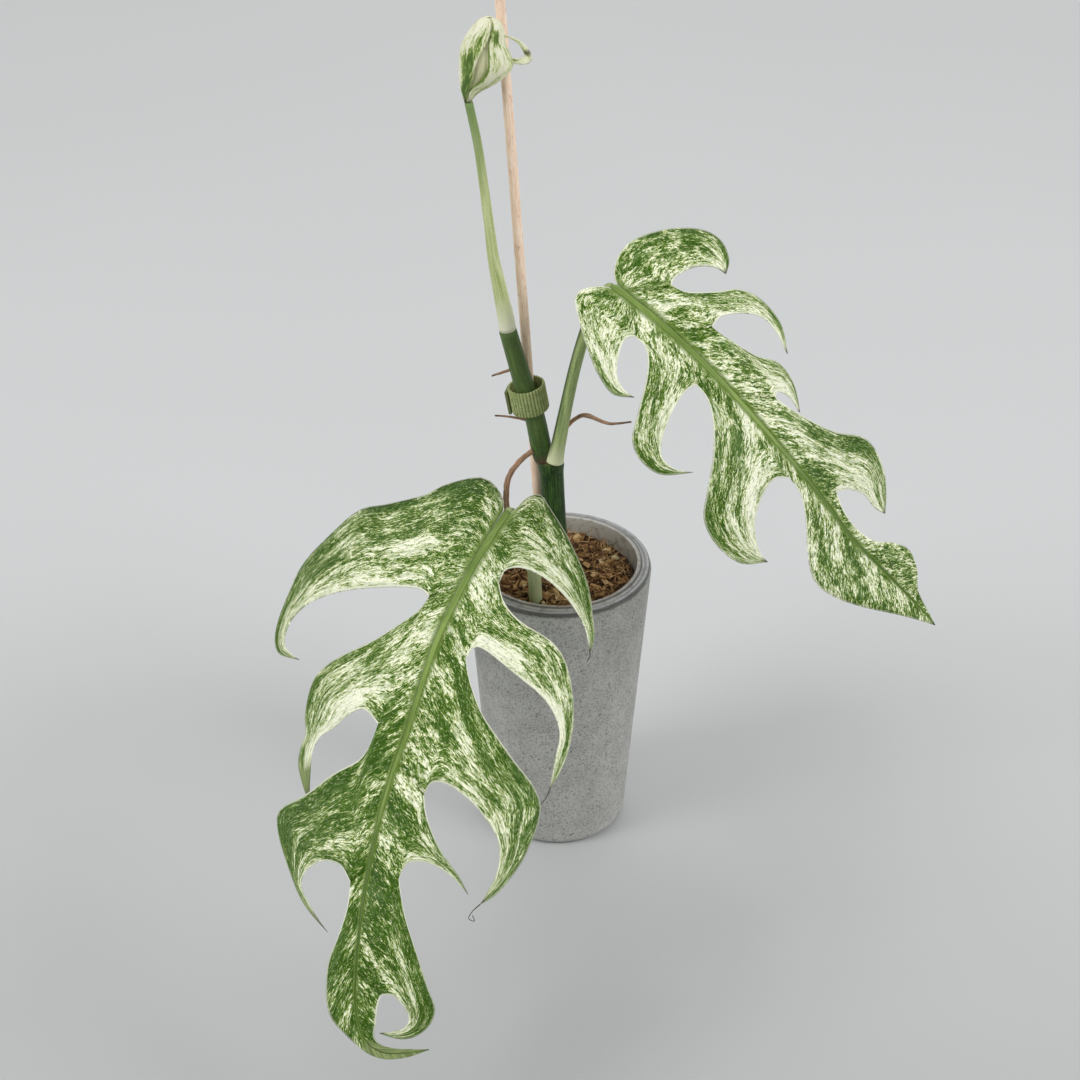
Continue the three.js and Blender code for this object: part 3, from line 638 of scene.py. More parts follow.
# %% Chips, fibres and grit
for crumb in CRUMBS:
    for _ in range(crumb["count"]):
        corners = bmesh.ops.create_cube(mix_mesh, size=1)["verts"]
        for (first, end), shift in crumb["skew"]:
            bmesh.ops.translate(mix_mesh, verts=corners[first:end], vec=shift)
        tones = crumb["tones"]
        base = draw.choice(tones) if len(tones) > 1 else tones[0]
        toned(corners, base + draw.random() * crumb["spread"])
        size = [draw.uniform(*side) for side in crumb["size"]]
        lay(corners, size, strewn_spot(crumb["reach"]), crumb["tilt"], draw.uniform(*crumb["lift"]))
for _ in range(HAIRS["count"]):
    turn = draw.uniform(*HAIRS["turn"])
    foot = Vector((math.cos(turn), math.sin(turn))) * draw.uniform(*HAIRS["reach"])
    corners = bmesh.ops.create_cube(mix_mesh, size=1)["verts"]
    toned(corners, HAIRS["tone"] + draw.random() * HAIRS["spread"])
    size = (draw.uniform(*HAIRS["length"]), HAIRS["width"], HAIRS["width"])
    lay(corners, size, foot, HAIRS["tilt"], draw.uniform(*HAIRS["lift"]))
for x, y, width in GRIT:
    corners = bmesh.ops.create_icosphere(mix_mesh, subdivisions=2, radius=0.5)["verts"]
    for corner in corners:
        corner.co *= 1 + GRIT_LUMPS * noise.noise(corner.co * 3 + Vector((x, y, 0)))
    toned(corners, GRIT_TONE)
    lay(corners, (width, width * 0.8, width * 0.7), Vector((x, y)), GRIT_TILT, GRIT_LIFT)
piece("bark_and_coir", mix_mesh, [bark], "potting_mix")

# %% [markdown]
# Stems, stalks, roots and the stick are tubes along a line. Each ring of a tube stands square to the line,
# and the rings are carried along it without twisting, so that the fine stripes run straight up the stem.

# %% A helper for tubes
def tube(mesh, path, radii, around=24, steps=8, thin=1.0, shape=None, carried=None):
    """A closed tube through the path's points in millimetres, with a radius at each of them."""
    line = smooth_line(path, steps=steps)
    ruler = Ruler(line)
    side = ruler.headings[0].orthogonal().normalized()
    frames = []
    for heading in ruler.headings:
        side = (side - heading * side.dot(heading)).normalized()
        frames.append((side.copy(), heading.cross(side)))
    last = len(line) - 1
    mean = sum(radii) / len(radii)

    def ring_place(column, row):
        ring = min(max(row - 1, 0), last)
        turn = column / around * 2 * math.pi
        knot = min(ring // steps, len(radii) - 2)
        radius = radii[knot] + (radii[knot + 1] - radii[knot]) * (ring / steps - knot)
        if shape:
            radius *= shape(turn, ruler.marks[ring], ruler.length)
        if row in (0, last + 2):
            radius = 0.0
        first, second = frames[ring]
        point = line[ring] + first * radius * math.cos(turn) * thin + second * radius * math.sin(turn)
        values = carried(turn, ruler.marks[ring], ruler.length) if carried else {}
        return point, (turn * mean, ruler.marks[ring]), values

    wrapped(mesh, around, last + 2, ring_place)
    return ruler


# %% [markdown]
# The old stem is dark green, about as thick as a finger, with fine stripes and small pale flecks. Above the
# node where the right stalk leaves it, a thinner length leans to the left. The node is a slight ring with a
# brown, dried scar. The two lengths and the ring are one piece on the plant and in this mesh.

# %% Finish of the stem
dark_stem, tree, shader = material("dark_stem", linear(52, 92, 44))
lines = pattern_place(tree)
stripes = streaks(tree, lines, 0.7, 60.0, wobble=0.2)
flecks = streaks(tree, lines, 0.5, 1.5, roughness=0.75, shift=4.0)
cloud = streaks(tree, lines, 6.0, 20.0, shift=9.0)
green = ramp(tree, weighed(tree, stripes, 0.6, cloud),
             [(0.38, linear(10, 34, 4)), (0.5, linear(26, 60, 12)), (0.62, linear(78, 112, 48))])
green = tinted(tree, green, window(tree, flecks, 0.54, 0.64), 0.5, linear(108, 136, 70))
green = tinted(tree, green, attribute(tree, "fresh"), 0.4, linear(112, 136, 76))
green = tinted(tree, green, attribute(tree, "scar"), 0.9, linear(88, 64, 46))
feed(tree, shader, green, 0.5, calc(tree, "ADD", stripes, flecks), depth=0.0004, strength=0.6, gloss=0.3)

# %% Stem
STEM_PATH = [(4, -6, 118), (1, -4.5, 170), (-2.5, -2, 215), (-4.4, 0, 252)]
STEM_RADII = [6.2, 7.1, 6.8, 6.9]
NODE_PATH = [(-4.2, 0, 247), (-4.5, 0, 251), (-5, 0, 255), (-6, 0, 258.5)]
NODE_RADII = [6.9, 7.6, 7.5, 5.6]
SHOOT_PATH = [(-8, 0, 256), (-10, 0, 262), (-14, 0, 284), (-20.1, 0, 305), (-28.9, 0, 339.5)]
SHOOT_RADII = [6.2, 6, 5.7, 5.6, 4.9]
stem_mesh = blank("scar", "fresh")
tube(stem_mesh, STEM_PATH, STEM_RADII, around=48, steps=12,
     shape=lambda turn, far, whole: 1 + 0.012 * math.sin(turn * 9))
tube(stem_mesh, NODE_PATH, NODE_RADII, around=48, steps=6,
     carried=lambda turn, far, whole: {"scar": max(0.0, 1 - abs(far / whole - 0.86) * 6)})
tube(stem_mesh, SHOOT_PATH, SHOOT_RADII, around=48, steps=12,
     shape=lambda turn, far, whole: 1 + 0.012 * math.sin(turn * 8),
     carried=lambda turn, far, whole: {"scar": max(0.0, 1 - far / 7), "fresh": min(1.0, far / 25)})
closed(stem_mesh)
piece("old_stem", stem_mesh, [dark_stem], "vine_stem")

# %% [markdown]
# The leaf stalks are softer and paler than the stem. Where the right one clasps the stem it is almost cream,
# and painted shade marks a groove up its left side. The lower stalk is painted paler, as painted light that
# lifts it out of the shade in the pot. The youngest stalk is light yellow-green, greener towards its top, and
# still stands in the torn, pale sheath that covered it.

# %% Striped stalks
def stalk_material(name, dark, light, pale, shade):
    """A striped stalk, tinted pale and darker where the mesh carries the numbers pale and dark."""
    made, tree, shader = material(name, light)
    lines = pattern_place(tree)
    stripes = streaks(tree, lines, 0.45, 45.0, wobble=0.15)
    cloud = streaks(tree, lines, 5.0, 30.0, shift=5.0)
    value = weighed(tree, stripes, 0.65, cloud)
    green = ramp(tree, value, [(0.38, dark), (0.62, light)])
    flecks = streaks(tree, lines, 0.4, 1.6, roughness=0.75, shift=8.0)
    green = tinted(tree, green, window(tree, flecks, 0.52, 0.62), 0.3, pale)
    green = tinted(tree, green, below(tree, flecks, 0.36, 0.46), 0.3, dark)
    # The pale tint is the stalks' own pale bases and sheath, and painted light on the lower stalk.
    green = mixed(tree, attribute(tree, "pale"), green, pale)
    # The darker tint is painted shade in the right stalk's groove, and a deeper green at the young stalk's
    # top.
    green = tinted(tree, green, attribute(tree, "dark"), 0.9, shade)
    feed(tree, shader, green, 0.5, stripes, depth=0.0002, strength=0.4, gloss=0.35)
    return made


sage_stalk = stalk_material("sage_stalk", linear(104, 128, 70), linear(180, 198, 132),
                            linear(226, 230, 190), linear(34, 54, 26))
young_stalk = stalk_material("young_stalk", linear(154, 170, 98), linear(216, 222, 170),
                             linear(230, 230, 206), linear(74, 118, 46))

# %% Right stalk
UPPER_STALK = [(-2.6, -3, 256.6), (-0.8, -4, 265), (4, -5, 294), (9.5, -6, 323), (15.6, -8.5, 348),
               (22, -11.5, 366), (28.4, -18.8, 377.5)]
UPPER_STALK_RADII = [5.6, 4.3, 3.6, 3.4, 3.3, 3.4, 3.0]
GROOVE_TURN = 2.7
DOME = 3


def dome(turn, far, whole):
    """Rounds the last few millimetres of a stalk."""
    return math.sqrt(max(0.05, 1 - max(0.0, (far - whole + DOME) / DOME) ** 2))


stalk = blank("pale", "dark")
# The number dark paints shade into a groove up the stalk's left side.
tube(stalk, UPPER_STALK, UPPER_STALK_RADII, around=32, steps=10, shape=dome,
     carried=lambda turn, far, whole: {
         "pale": max(0.0, 1 - far / 17) ** 1.2,
         "dark": max(0.0, math.cos(turn - GROOVE_TURN)) ** 14 * min(1, far / 15, (whole - far) / 20)})
closed(stalk)
piece("upper_stalk", stalk, [sage_stalk], "petiole_upper")

# %% Lower stalk
LOWER_STALK = [(-10, -20, 126), (-13.2, -26, 171), (-14.5, -27, 195), (-18.4, -29, 219), (-25.5, -33, 237),
               (-29.7, -41.2, 245.3)]
LOWER_STALK_RADII = [3.2, 3.9, 3.9, 3.8, 3.7, 3.0]
stalk = blank("pale", "dark")
# Painted light: the number pale makes the lower stalk paler, to lift it out of the shade in the pot.
tube(stalk, LOWER_STALK, LOWER_STALK_RADII, around=32, steps=10, shape=dome,
     carried=lambda turn, far, whole: {"pale": 0.45 * min(1.0, (whole - far) / 30)})
closed(stalk)
piece("lower_stalk", stalk, [sage_stalk], "petiole_lower")

# %% Young stalk and its sheath
NEW_STALK = [(-28.9, 0, 340), (-33, 0, 365), (-36.2, 0, 383), (-38.4, 0, 403), (-41.6, 0, 432),
             (-44.2, 0, 453), (-48.6, 0, 476.9)]
NEW_STALK_RADII = [4.7, 4.0, 3.3, 2.8, 2.5, 2.4, 2.3]
SHEATH = [(-26.6, 0.5, 340.6), (-28.6, 0.5, 352), (-31, 0.5, 364), (-33.2, 0.5, 374)]
SHEATH_RADII = [2.4, 2.6, 1.7, 0.3]
stalk = blank("pale", "dark")
tube(stalk, NEW_STALK, NEW_STALK_RADII, around=32, steps=10,
     carried=lambda turn, far, whole: {"pale": max(0.0, 1 - far / 22),
                                       "dark": 0.85 * max(0.0, (far - whole + 60) / 60)})
tube(stalk, SHEATH, SHEATH_RADII, around=20, steps=8,
     carried=lambda turn, far, whole: {"pale": 1.0 - 0.5 * far / whole})
closed(stalk)
piece("young_stalk", stalk, [young_stalk], "petiole_new")

# %% [markdown]
# The stick is bare pale wood, a little rough, with a few reddish streaks. Its cut end is flat.

# %% Stick
STICK = {"radius": 2.75, "foot": (-0.5, 8.5, 40), "top": (-32.7, 10.4, 545)}
pale_wood, tree, shader = material("pale_wood", linear(233, 208, 180))
lines = pattern_place(tree)
grain = streaks(tree, lines, 0.6, 14.0, roughness=0.7, wobble=0.4)
knots = streaks(tree, lines, 3.0, 7.0, shift=3.0)
wood = ramp(tree, grain, [(0.35, linear(226, 192, 166)), (0.5, linear(249, 219, 194)),
                          (0.64, linear(254, 238, 221))])
wood = tinted(tree, wood, window(tree, knots, 0.58, 0.7), 0.6, linear(182, 122, 98))
feed(tree, shader, wood, 0.8, grain, depth=0.0003, strength=0.5)

stick = bmesh.new()
foot, top = Vector(STICK["foot"]), Vector(STICK["top"])


def whittled(turn, far, whole):
    """The slight unevenness of a split and rounded stick."""
    return 1 + 0.02 * noise.noise(Vector((math.cos(turn), math.sin(turn), far / 25)))


tube(stick, [foot.lerp(top, share) for share in (0, 0.25, 0.5, 0.75, 1)], [STICK["radius"]] * 5,
     around=28, steps=20, shape=whittled)
closed(stick)
piece("stick", stick, [pale_wood], "stake")

# %% [markdown]
# The aerial roots are dry and brown, a little knobbly, and darker at their thin ends.

# %% Paths of the roots
ROOTS = [
    {"path": [(-15.4, -3.5, 262.5), (-21.8, -9, 260), (-28.6, -12, 251), (-30.4, -14, 239), (-29.3, -15, 226),
              (-26, -13, 211), (-24, -12, 200)], "radii": [1.5, 1.6, 1.7, 1.7, 1.6, 1.4, 0.6]},
    {"path": [(1.2, -0.8, 271), (6.4, 1.2, 278.6), (12, 0.5, 283.5), (17, -1, 284.5), (28.2, -5, 282),
              (41, -6, 283.6)], "radii": [1.0, 1.1, 1.3, 1.3, 0.9, 0.5]},
    {"path": [(-28.1, -0.5, 314.4), (-32, -1.5, 313.4), (-38, -3, 312)], "radii": [0.9, 0.8, 0.5]},
    {"path": [(-18.9, 0.6, 281), (-25, 0.4, 282.6), (-31, -1, 284.4), (-36.5, -2, 285.4)],
     "radii": [0.8, 0.7, 0.6, 0.5]},
]
print("roots:", len(ROOTS))

# %% Finish of the roots
dry_root, tree, shader = material("dry_root", linear(132, 98, 78))
lines = pattern_place(tree)
fibres = streaks(tree, lines, 0.5, 5.0)
root_brown = ramp(tree, fibres, [(0.35, linear(108, 82, 64)), (0.55, linear(174, 140, 112)),
                                 (0.7, linear(220, 186, 154))])
rusty = window(tree, streaks(tree, lines, 6.0, 14.0, shift=3.0), 0.5, 0.62)
root_brown = tinted(tree, root_brown, rusty, 0.5, linear(190, 128, 88))
root_brown = mixed(tree, attribute(tree, "end"), root_brown, linear(66, 46, 40))
feed(tree, shader, root_brown, 0.8, fibres, depth=0.0004, strength=0.7)

# %% Aerial roots
for number, root in enumerate(ROOTS, 1):
    strand = blank("end")
    tube(strand, root["path"], root["radii"], around=14, steps=10,
         shape=lambda turn, far, whole: 1 + 0.22 * noise.noise(
             Vector((math.cos(turn) * 2, math.sin(turn) * 2, far / 3 + number * 9))),
         carried=lambda turn, far, whole: {"end": 0.8 * max(0.0, far / whole * 3 - 2)})
    closed(strand)
    piece(f"root_{number}", strand, [dry_root], f"aerial_root_{number}")

# %% [markdown]
# The tie is a ribbed olive strap that closes on itself, with its free end folded down on the left. Real ribs
# catch the light, so they are in the mesh: the wall's outside goes in and out. Painted shade darkens the
# grooves between the ribs, and the folded end is darker all over.

# %% Finish of the strap
strap_cloth, tree, shader = material("olive_strap", linear(139, 154, 92))
lines = pattern_place(tree)
yarns = streaks(tree, lines, 0.35, 0.9)
nap = streaks(tree, lines, 3.0, 3.0, shift=2.0)
olive = ramp(tree, weighed(tree, yarns, 0.6, nap),
             [(0.35, linear(116, 130, 72)), (0.5, linear(166, 178, 116)), (0.66, linear(204, 212, 160))])
# Painted shade in the grooves between the ribs, and the folded end's darker tone.
olive = mixed(tree, attribute(tree, "groove_shade_and_tab_tone"), olive, linear(84, 98, 54))
feed(tree, shader, olive, 0.95, yarns, depth=0.0005, strength=0.8)

# %% Loop of the strap
TIE = {"centre": (-17.5, 3, 295), "inner": 9.3, "wall": 1.5, "width": 16, "lean": 10, "ribs": 34}
TIE_COLUMNS = TIE["ribs"] * 8
half = TIE["width"] / 2
TIE_WALL = [(0.0, -half + 0.4), (0.25, -half), (1.25, -half), (TIE["wall"], -half + 0.4),
            (TIE["wall"], -half / 2), (TIE["wall"], 0), (TIE["wall"], half / 2), (TIE["wall"], half - 0.4),
            (1.25, half), (0.25, half), (0.0, half - 0.4)]


def strap_place(column, row):
    """A point of the strap's wall, ribbed on the outside and leaning with the stem."""
    turn = column / TIE_COLUMNS * 2 * math.pi
    out, up = TIE_WALL[row % len(TIE_WALL)]
    rib = math.cos(turn * TIE["ribs"])
    groove_shade_and_tab_tone = 0.0
    if out > 0.9:
        out += 0.22 * rib - 0.2
        # Painted shade in the valleys between the ribs.
        groove_shade_and_tab_tone = max(0.0, -rib) * 0.75
    up += 0.25 * noise.noise(Vector((math.cos(turn) * 3, math.sin(turn) * 3, 0)))
    radius = TIE["inner"] + out
    lean = math.radians(TIE["lean"])
    x, y = radius * math.cos(turn), radius * math.sin(turn)
    point = Vector((x * math.cos(lean) - up * math.sin(lean), y, x * math.sin(lean) + up * math.cos(lean)))
    return point + Vector(TIE["centre"]), (turn * radius, up + 20), {"groove_shade_and_tab_tone": groove_shade_and_tab_tone}


strap = blank("groove_shade_and_tab_tone")
wrapped(strap, TIE_COLUMNS, len(TIE_WALL), strap_place)
closed(strap)
print("loop of the strap:", len(strap.faces), "faces")

# %% [markdown]
# The strap's free end is a small block beside the loop. It is shaped at the origin, turned a little, and then
# leaned and moved as the loop was.

# %% Folded end of the strap
TAB = {"size": (1.5, 8.6, 14.6), "turn": 14, "gap": 0.2, "back": 1.5, "down": 1}
tab = bmesh.ops.create_cube(strap, size=1)["verts"]
bmesh.ops.scale(strap, vec=Vector(TAB["size"]) * MM, verts=tab)
groove_shade_and_tab_layer = strap.verts.layers.float["groove_shade_and_tab_tone"]
# The folded end takes the darker tone all over.
for corner in tab:
    corner[groove_shade_and_tab_layer] = 0.8
tab_turn = Matrix.Rotation(math.radians(-TAB["turn"]), 3, "Z")
bmesh.ops.rotate(strap, verts=tab, cent=(0, 0, 0), matrix=tab_turn)
beside_strap = Vector((-TIE["inner"] - TIE["wall"] - TAB["gap"], TAB["back"], -TAB["down"]))
bmesh.ops.translate(strap, verts=tab, vec=beside_strap * MM)
tab_lean = Matrix.Rotation(math.radians(-TIE["lean"]), 3, "Y")
bmesh.ops.rotate(strap, verts=tab, cent=(0, 0, 0), matrix=tab_lean)
bmesh.ops.translate(strap, verts=tab, vec=Vector(TIE["centre"]) * MM)
piece("strap", strap, [strap_cloth], "tie")

# %% [markdown]
# A leaf blade is drawn flat and then wrapped round its midrib, as in the CAD model: it rises a little beside
# the rib and then droops. Every lobe is one grid that runs from its stretch of midrib to its tip, so the
# grid's lines are the side veins, and marks drawn along them run as they do on the real leaf. A lobe's tone
# says whether it is whiter or greener than the rest.

# %% Outline of the lower leaf
LOWER_LEAF = {
    "midrib": [(-29.5, -42, 246), (-49, -87, 237), (-67, -133, 221), (-81, -179, 198), (-93, -213, 175),
               (-101, -243, 149), (-105, -266, 126), (-106.5, -284, 103), (-106, -299, 80)],
    "facing": (-0.1, -0.55, 0.83), "fold": 8, "droop": (50, 50), "rib": 2.4,
    "lobes": [
        {"side": 1, "root": (0, 62), "near": [(-8, 6), (-17, 17), (-17, 27), (-5, 42), (6, 50), (15, 69),
         (18, 89), (36, 102), (53, 114), (77, 112), (101, 107), (116, 95)], "tip": (122, 76),
         "far": [(76, 14), (73, 22), (78, 46), (83, 70), (90, 89), (100, 96), (112, 92)],
         "sag": 0, "lag": 1.3, "tone": -0.22},
        {"side": 1, "root": (62, 143), "near": [(76, 14), (88, 17), (108, 33), (123, 56), (135, 64),
         (156, 63), (168, 59), (177, 60), (187, 58)], "tip": (203, 46),
         "far": [(157, 16), (150, 26), (154, 34), (163, 42), (170, 50), (179, 52), (189, 50)],
         "sag": 12, "lag": 2.3, "plain": 0.86},
        {"side": 1, "root": (143, 234), "near": [(157, 16), (177, 18), (189, 30), (202, 43), (211, 56),
         (222, 54), (240, 43), (255, 32)], "tip": (268, 17),
         "far": [(242, 8), (234, 15), (233, 25), (239, 33.5), (247, 34.5), (257, 27)], "sag": 3, "lag": 2.2,
         "dry": 20, "tone": -0.52},
        {"side": -1, "root": (0, 36), "near": [(-5, 4), (-15, 6), (-20, 12), (-12, 22), (4, 41), (24, 62),
         (46, 75), (57, 80)], "tip": (66, 81),
         "far": [(53, 18), (43, 18), (37, 26), (37, 41), (43, 58), (54, 73)], "sag": 2, "lag": 1.8,
         "tone": -0.15},
        {"side": -1, "root": (36, 90), "near": [(53, 18), (65, 26), (73, 39), (77, 61), (91, 75), (117, 85),
         (143, 88)], "tip": (163, 84),
         "far": [(108, 19), (99, 21), (99, 28), (107, 46), (117, 68), (131, 80), (146, 82)],
         "sag": 2, "lag": 1.7},
        {"side": -1, "root": (90, 176), "near": [(108, 19), (123, 26), (140, 38), (155, 57), (167, 76),
         (180, 82), (210, 79), (233, 69)], "tip": (243, 60),
         "far": [(189, 20), (181, 22), (180, 32), (188, 49), (204, 63), (221, 66), (234, 63)],
         "sag": -5, "lag": 2.0, "tone": -0.3},
        {"side": -1, "root": (176, 222), "near": [(189, 20), (201, 25), (216, 35), (229, 48)],
         "tip": (238, 55), "far": [(236, 17), (227, 20), (225, 31), (229, 43)], "sag": 4, "lag": 1.5,
         "tone": -0.35},
        {"side": -1, "root": (222, 287), "near": [(236, 17), (255, 23), (274, 31), (293, 38), (305, 42),
         (315, 39), (321, 31), (322, 22)], "tip": (319, 12),
         "far": [(298, 14), (298, 20), (303, 25), (310, 28), (316, 26), (318, 20)], "sag": 4, "lag": 2.2,
         "tone": -0.45},
    ],
    "end": {
        "line": [(290, 0), (301, 0), (310, -1), (318, -3), (324, -7), (328, -14), (328.5, -24), (327, -38)],
        "left": {"from": 234, "lag": 1, "edge": [(242, 8), (256, 8), (270, 11), (284, 15), (301, 15),
                 (311, 12), (318, 6), (324, 0), (329, -7), (331.5, -16), (330.5, -27), (327, -38)]},
        "right": {"from": 287, "lag": 1, "edge": [(298, -14), (304, -12), (313, -11), (320, -10),
                  (324, -13), (326, -20), (326.5, -28), (327, -38)]},
        "plain": 322, "tone": -0.65,
    },
}
print("lobes of the lower leaf:", len(LOWER_LEAF["lobes"]))

# %% Outline of the right leaf
UPPER_LEAF = {
    "midrib": [(29, -20, 378), (61, -43, 361), (95, -63, 333), (125, -77, 302), (141, -82, 283),
               (160, -87, 258), (181, -91, 236), (201, -93, 214), (209, -93, 204)],
    "facing": (0.3, -0.6, 0.75), "fold": 8, "droop": (50, 30), "rib": 2.2,
    "lobes": [
        {"side": 1, "root": (0, 16), "near": [(-4, 5), (-10, 14), (-9, 22), (1, 30), (14, 39), (29, 47),
         (43, 50)], "tip": (53, 43), "far": [(30, 17), (27, 22), (31, 32), (38, 41), (46, 44)],
         "sag": 2, "lag": 1.6, "tone": 0.12},
        {"side": 1, "root": (16, 60), "near": [(30, 17), (38, 18), (48, 28), (62, 51), (69, 61), (80, 65),
         (93, 62)], "tip": (104, 48), "far": [(71, 13), (70, 23), (75, 40), (84, 54), (95, 55)],
         "sag": 2, "lag": 2.0},
        {"side": 1, "root": (60, 134), "near": [(71, 13), (80, 14), (90, 20), (104, 34), (117, 51),
         (126, 61), (141, 65), (157, 61)], "tip": (168, 49),
         "far": [(143, 8), (137, 15), (138, 27), (146, 42), (158, 49)], "sag": 2, "lag": 2.0},
        {"side": -1, "root": (0, 10), "near": [(-6, 7), (-11, 18), (-11, 32), (-3, 51), (9, 66), (21, 69),
         (33, 62)], "tip": (38, 53), "far": [(23, 22), (21, 28), (24, 42), (31, 51)], "sag": 3, "lag": 1.5,
         "tone": -0.15},
        {"side": -1, "root": (10, 42), "near": [(23, 22), (32, 25), (43, 38), (50, 49), (63, 55), (80, 53)],
         "tip": (94, 43), "far": [(55, 19), (54, 27), (60, 38), (70, 47), (82, 47)], "sag": 2, "lag": 1.6},
        {"side": -1, "root": (42, 92), "near": [(55, 19), (66, 21), (82, 26), (94, 34), (108, 33)],
         "tip": (122, 25), "far": [(106, 17), (105, 21), (112, 25)], "sag": 4, "lag": 1.5},
        {"side": -1, "root": (92, 160), "near": [(106, 17), (123, 22), (144, 32), (162, 46), (180, 44),
         (194, 36)], "tip": (202, 27), "far": [(168, 9), (173, 17), (182, 23), (193, 24)],
         "sag": 3, "lag": 1.8},
    ],
    "end": {
        "line": [(240, 0), (252, 0), (267, 0)],
        "left": {"from": 134, "lag": 1.1, "edge": [(143, 8), (154, 10), (165, 17), (178, 27), (191, 35),
                 (203, 34), (221, 26), (243, 13), (267, 0)]},
        "right": {"from": 160, "lag": 1.3, "edge": [(168, -9), (180, -6), (194, -6), (206, -9), (215, -16),
                  (226, -20), (237, -15), (246, -6), (267, 0)]},
        "plain": 1000, "tone": -0.15,
    },
}
print("lobes of the right leaf:", len(UPPER_LEAF["lobes"]))

# %% [markdown]
# A leaf's drawing is flat: a distance along the midrib and a distance out from it. The class below sends such
# a point to its place on the plant. The blade rises a little beside the rib and then droops in an even arc.
# Near the tip the drawing has a centre line of its own, which bends off with the end lobe.

# %% A blade wrapped round its midrib
RIB_HALF, RIB_LEAST = 2.2, 0.25


class Blade:
    """One leaf's midrib and its flat drawing, wrapped into place."""

    def __init__(self, leaf):
        self.leaf = leaf
        self.midrib = Ruler(smooth_line(leaf["midrib"]))
        self.facing = Vector(leaf["facing"]).normalized()
        self.end_line = Ruler(smooth_line(leaf["end"]["line"], stretched=False))
        self.end_start = leaf["end"]["line"][0][0]
        self.length = self.end_start + self.end_line.length

    def rib_width(self, along):
        """Half the midrib's width at a distance along it."""
        return RIB_HALF * min(max(1 - along / self.midrib.length, 0), 1) + RIB_LEAST

    def wrap(self, along, out):
        """A flat point in its place on the plant, with the blade's normal there."""
        place, forward = self.midrib.at(along)
        side = forward.cross(self.facing).normalized()
        up = side.cross(forward)
        hand = -1 if out < 0 else 1
        fold = math.radians(self.leaf["fold"])
        bend = math.radians(self.leaf["droop"][0 if hand > 0 else 1]) / 100
        angle = fold - bend * abs(out)
        reach = (math.sin(fold) - math.sin(angle)) / bend
        rise = (math.cos(angle) - math.cos(fold)) / bend
        normal = up * math.cos(angle) - side * hand * math.sin(angle)
        return place + side * hand * reach + up * rise, normal

    def spine_place(self, along):
        """A place on the drawn centre line, which bends off with the tip, and the way to its left."""
        if along <= self.end_start:
            return Vector((along, 0)), Vector((0, 1))
        centre, heading = self.end_line.at(min(along - self.end_start, self.end_line.length))
        return centre, Vector((-heading.y, heading.x))


# %% [markdown]
# A lobe is one grid. Its first rows fill the blade between the midrib and the bays, and the others run on to
# the tip in even steps along the near edge. The steps along the far edge may lag behind, so that the rows
# stay square to a lobe that curves.

# %% Rows of a lobe
BAY_SHARE = 2 / 13
BAY_ROWS, FREE_ROWS = 6, 38


def lobe_rows(blade, lobe):
    """The near and far edge at every row of a lobe, as flat points."""
    roots = [Vector((along, blade.rib_width(along))) for along in lobe["root"]]
    near = Ruler(smooth_line([*lobe["near"], lobe["tip"]], stretched=False))
    far = Ruler(smooth_line([*lobe["far"], lobe["tip"]], stretched=False))
    whole = Ruler(smooth_line([roots[0], *lobe["near"], lobe["tip"]], stretched=False))
    rows = []
    for row in range(BAY_ROWS + FREE_ROWS + 1):
        free = max(0.0, (row - BAY_ROWS) / FREE_ROWS)
        if row < BAY_ROWS:
            corners = Vector(lobe["near"][0]), Vector(lobe["far"][0])
            ends = [root.lerp(corner, row / BAY_ROWS) for root, corner in zip(roots, corners)]
        else:
            late = free + (free ** lobe["lag"] - free) * free
            ends = [near.at(free * near.length)[0], far.at(late * far.length)[0]]
        if lobe["root"][0] == 0:
            share = BAY_SHARE * min(row / BAY_ROWS, 1) + (1 - BAY_SHARE) * free
            ends[0] = whole.at(share * whole.length)[0]
        rows.append((free, *ends))
    return rows


# %% [markdown]
# Each point of the grid also carries what the finish needs: the way to the nearest free edge, how deep in a
# bay it lies, how near it is to the midrib, the dry tip or a twisted end that shows its plain back, and how
# pale it is.

# %% One lobe
LOBE_COLUMNS = 16


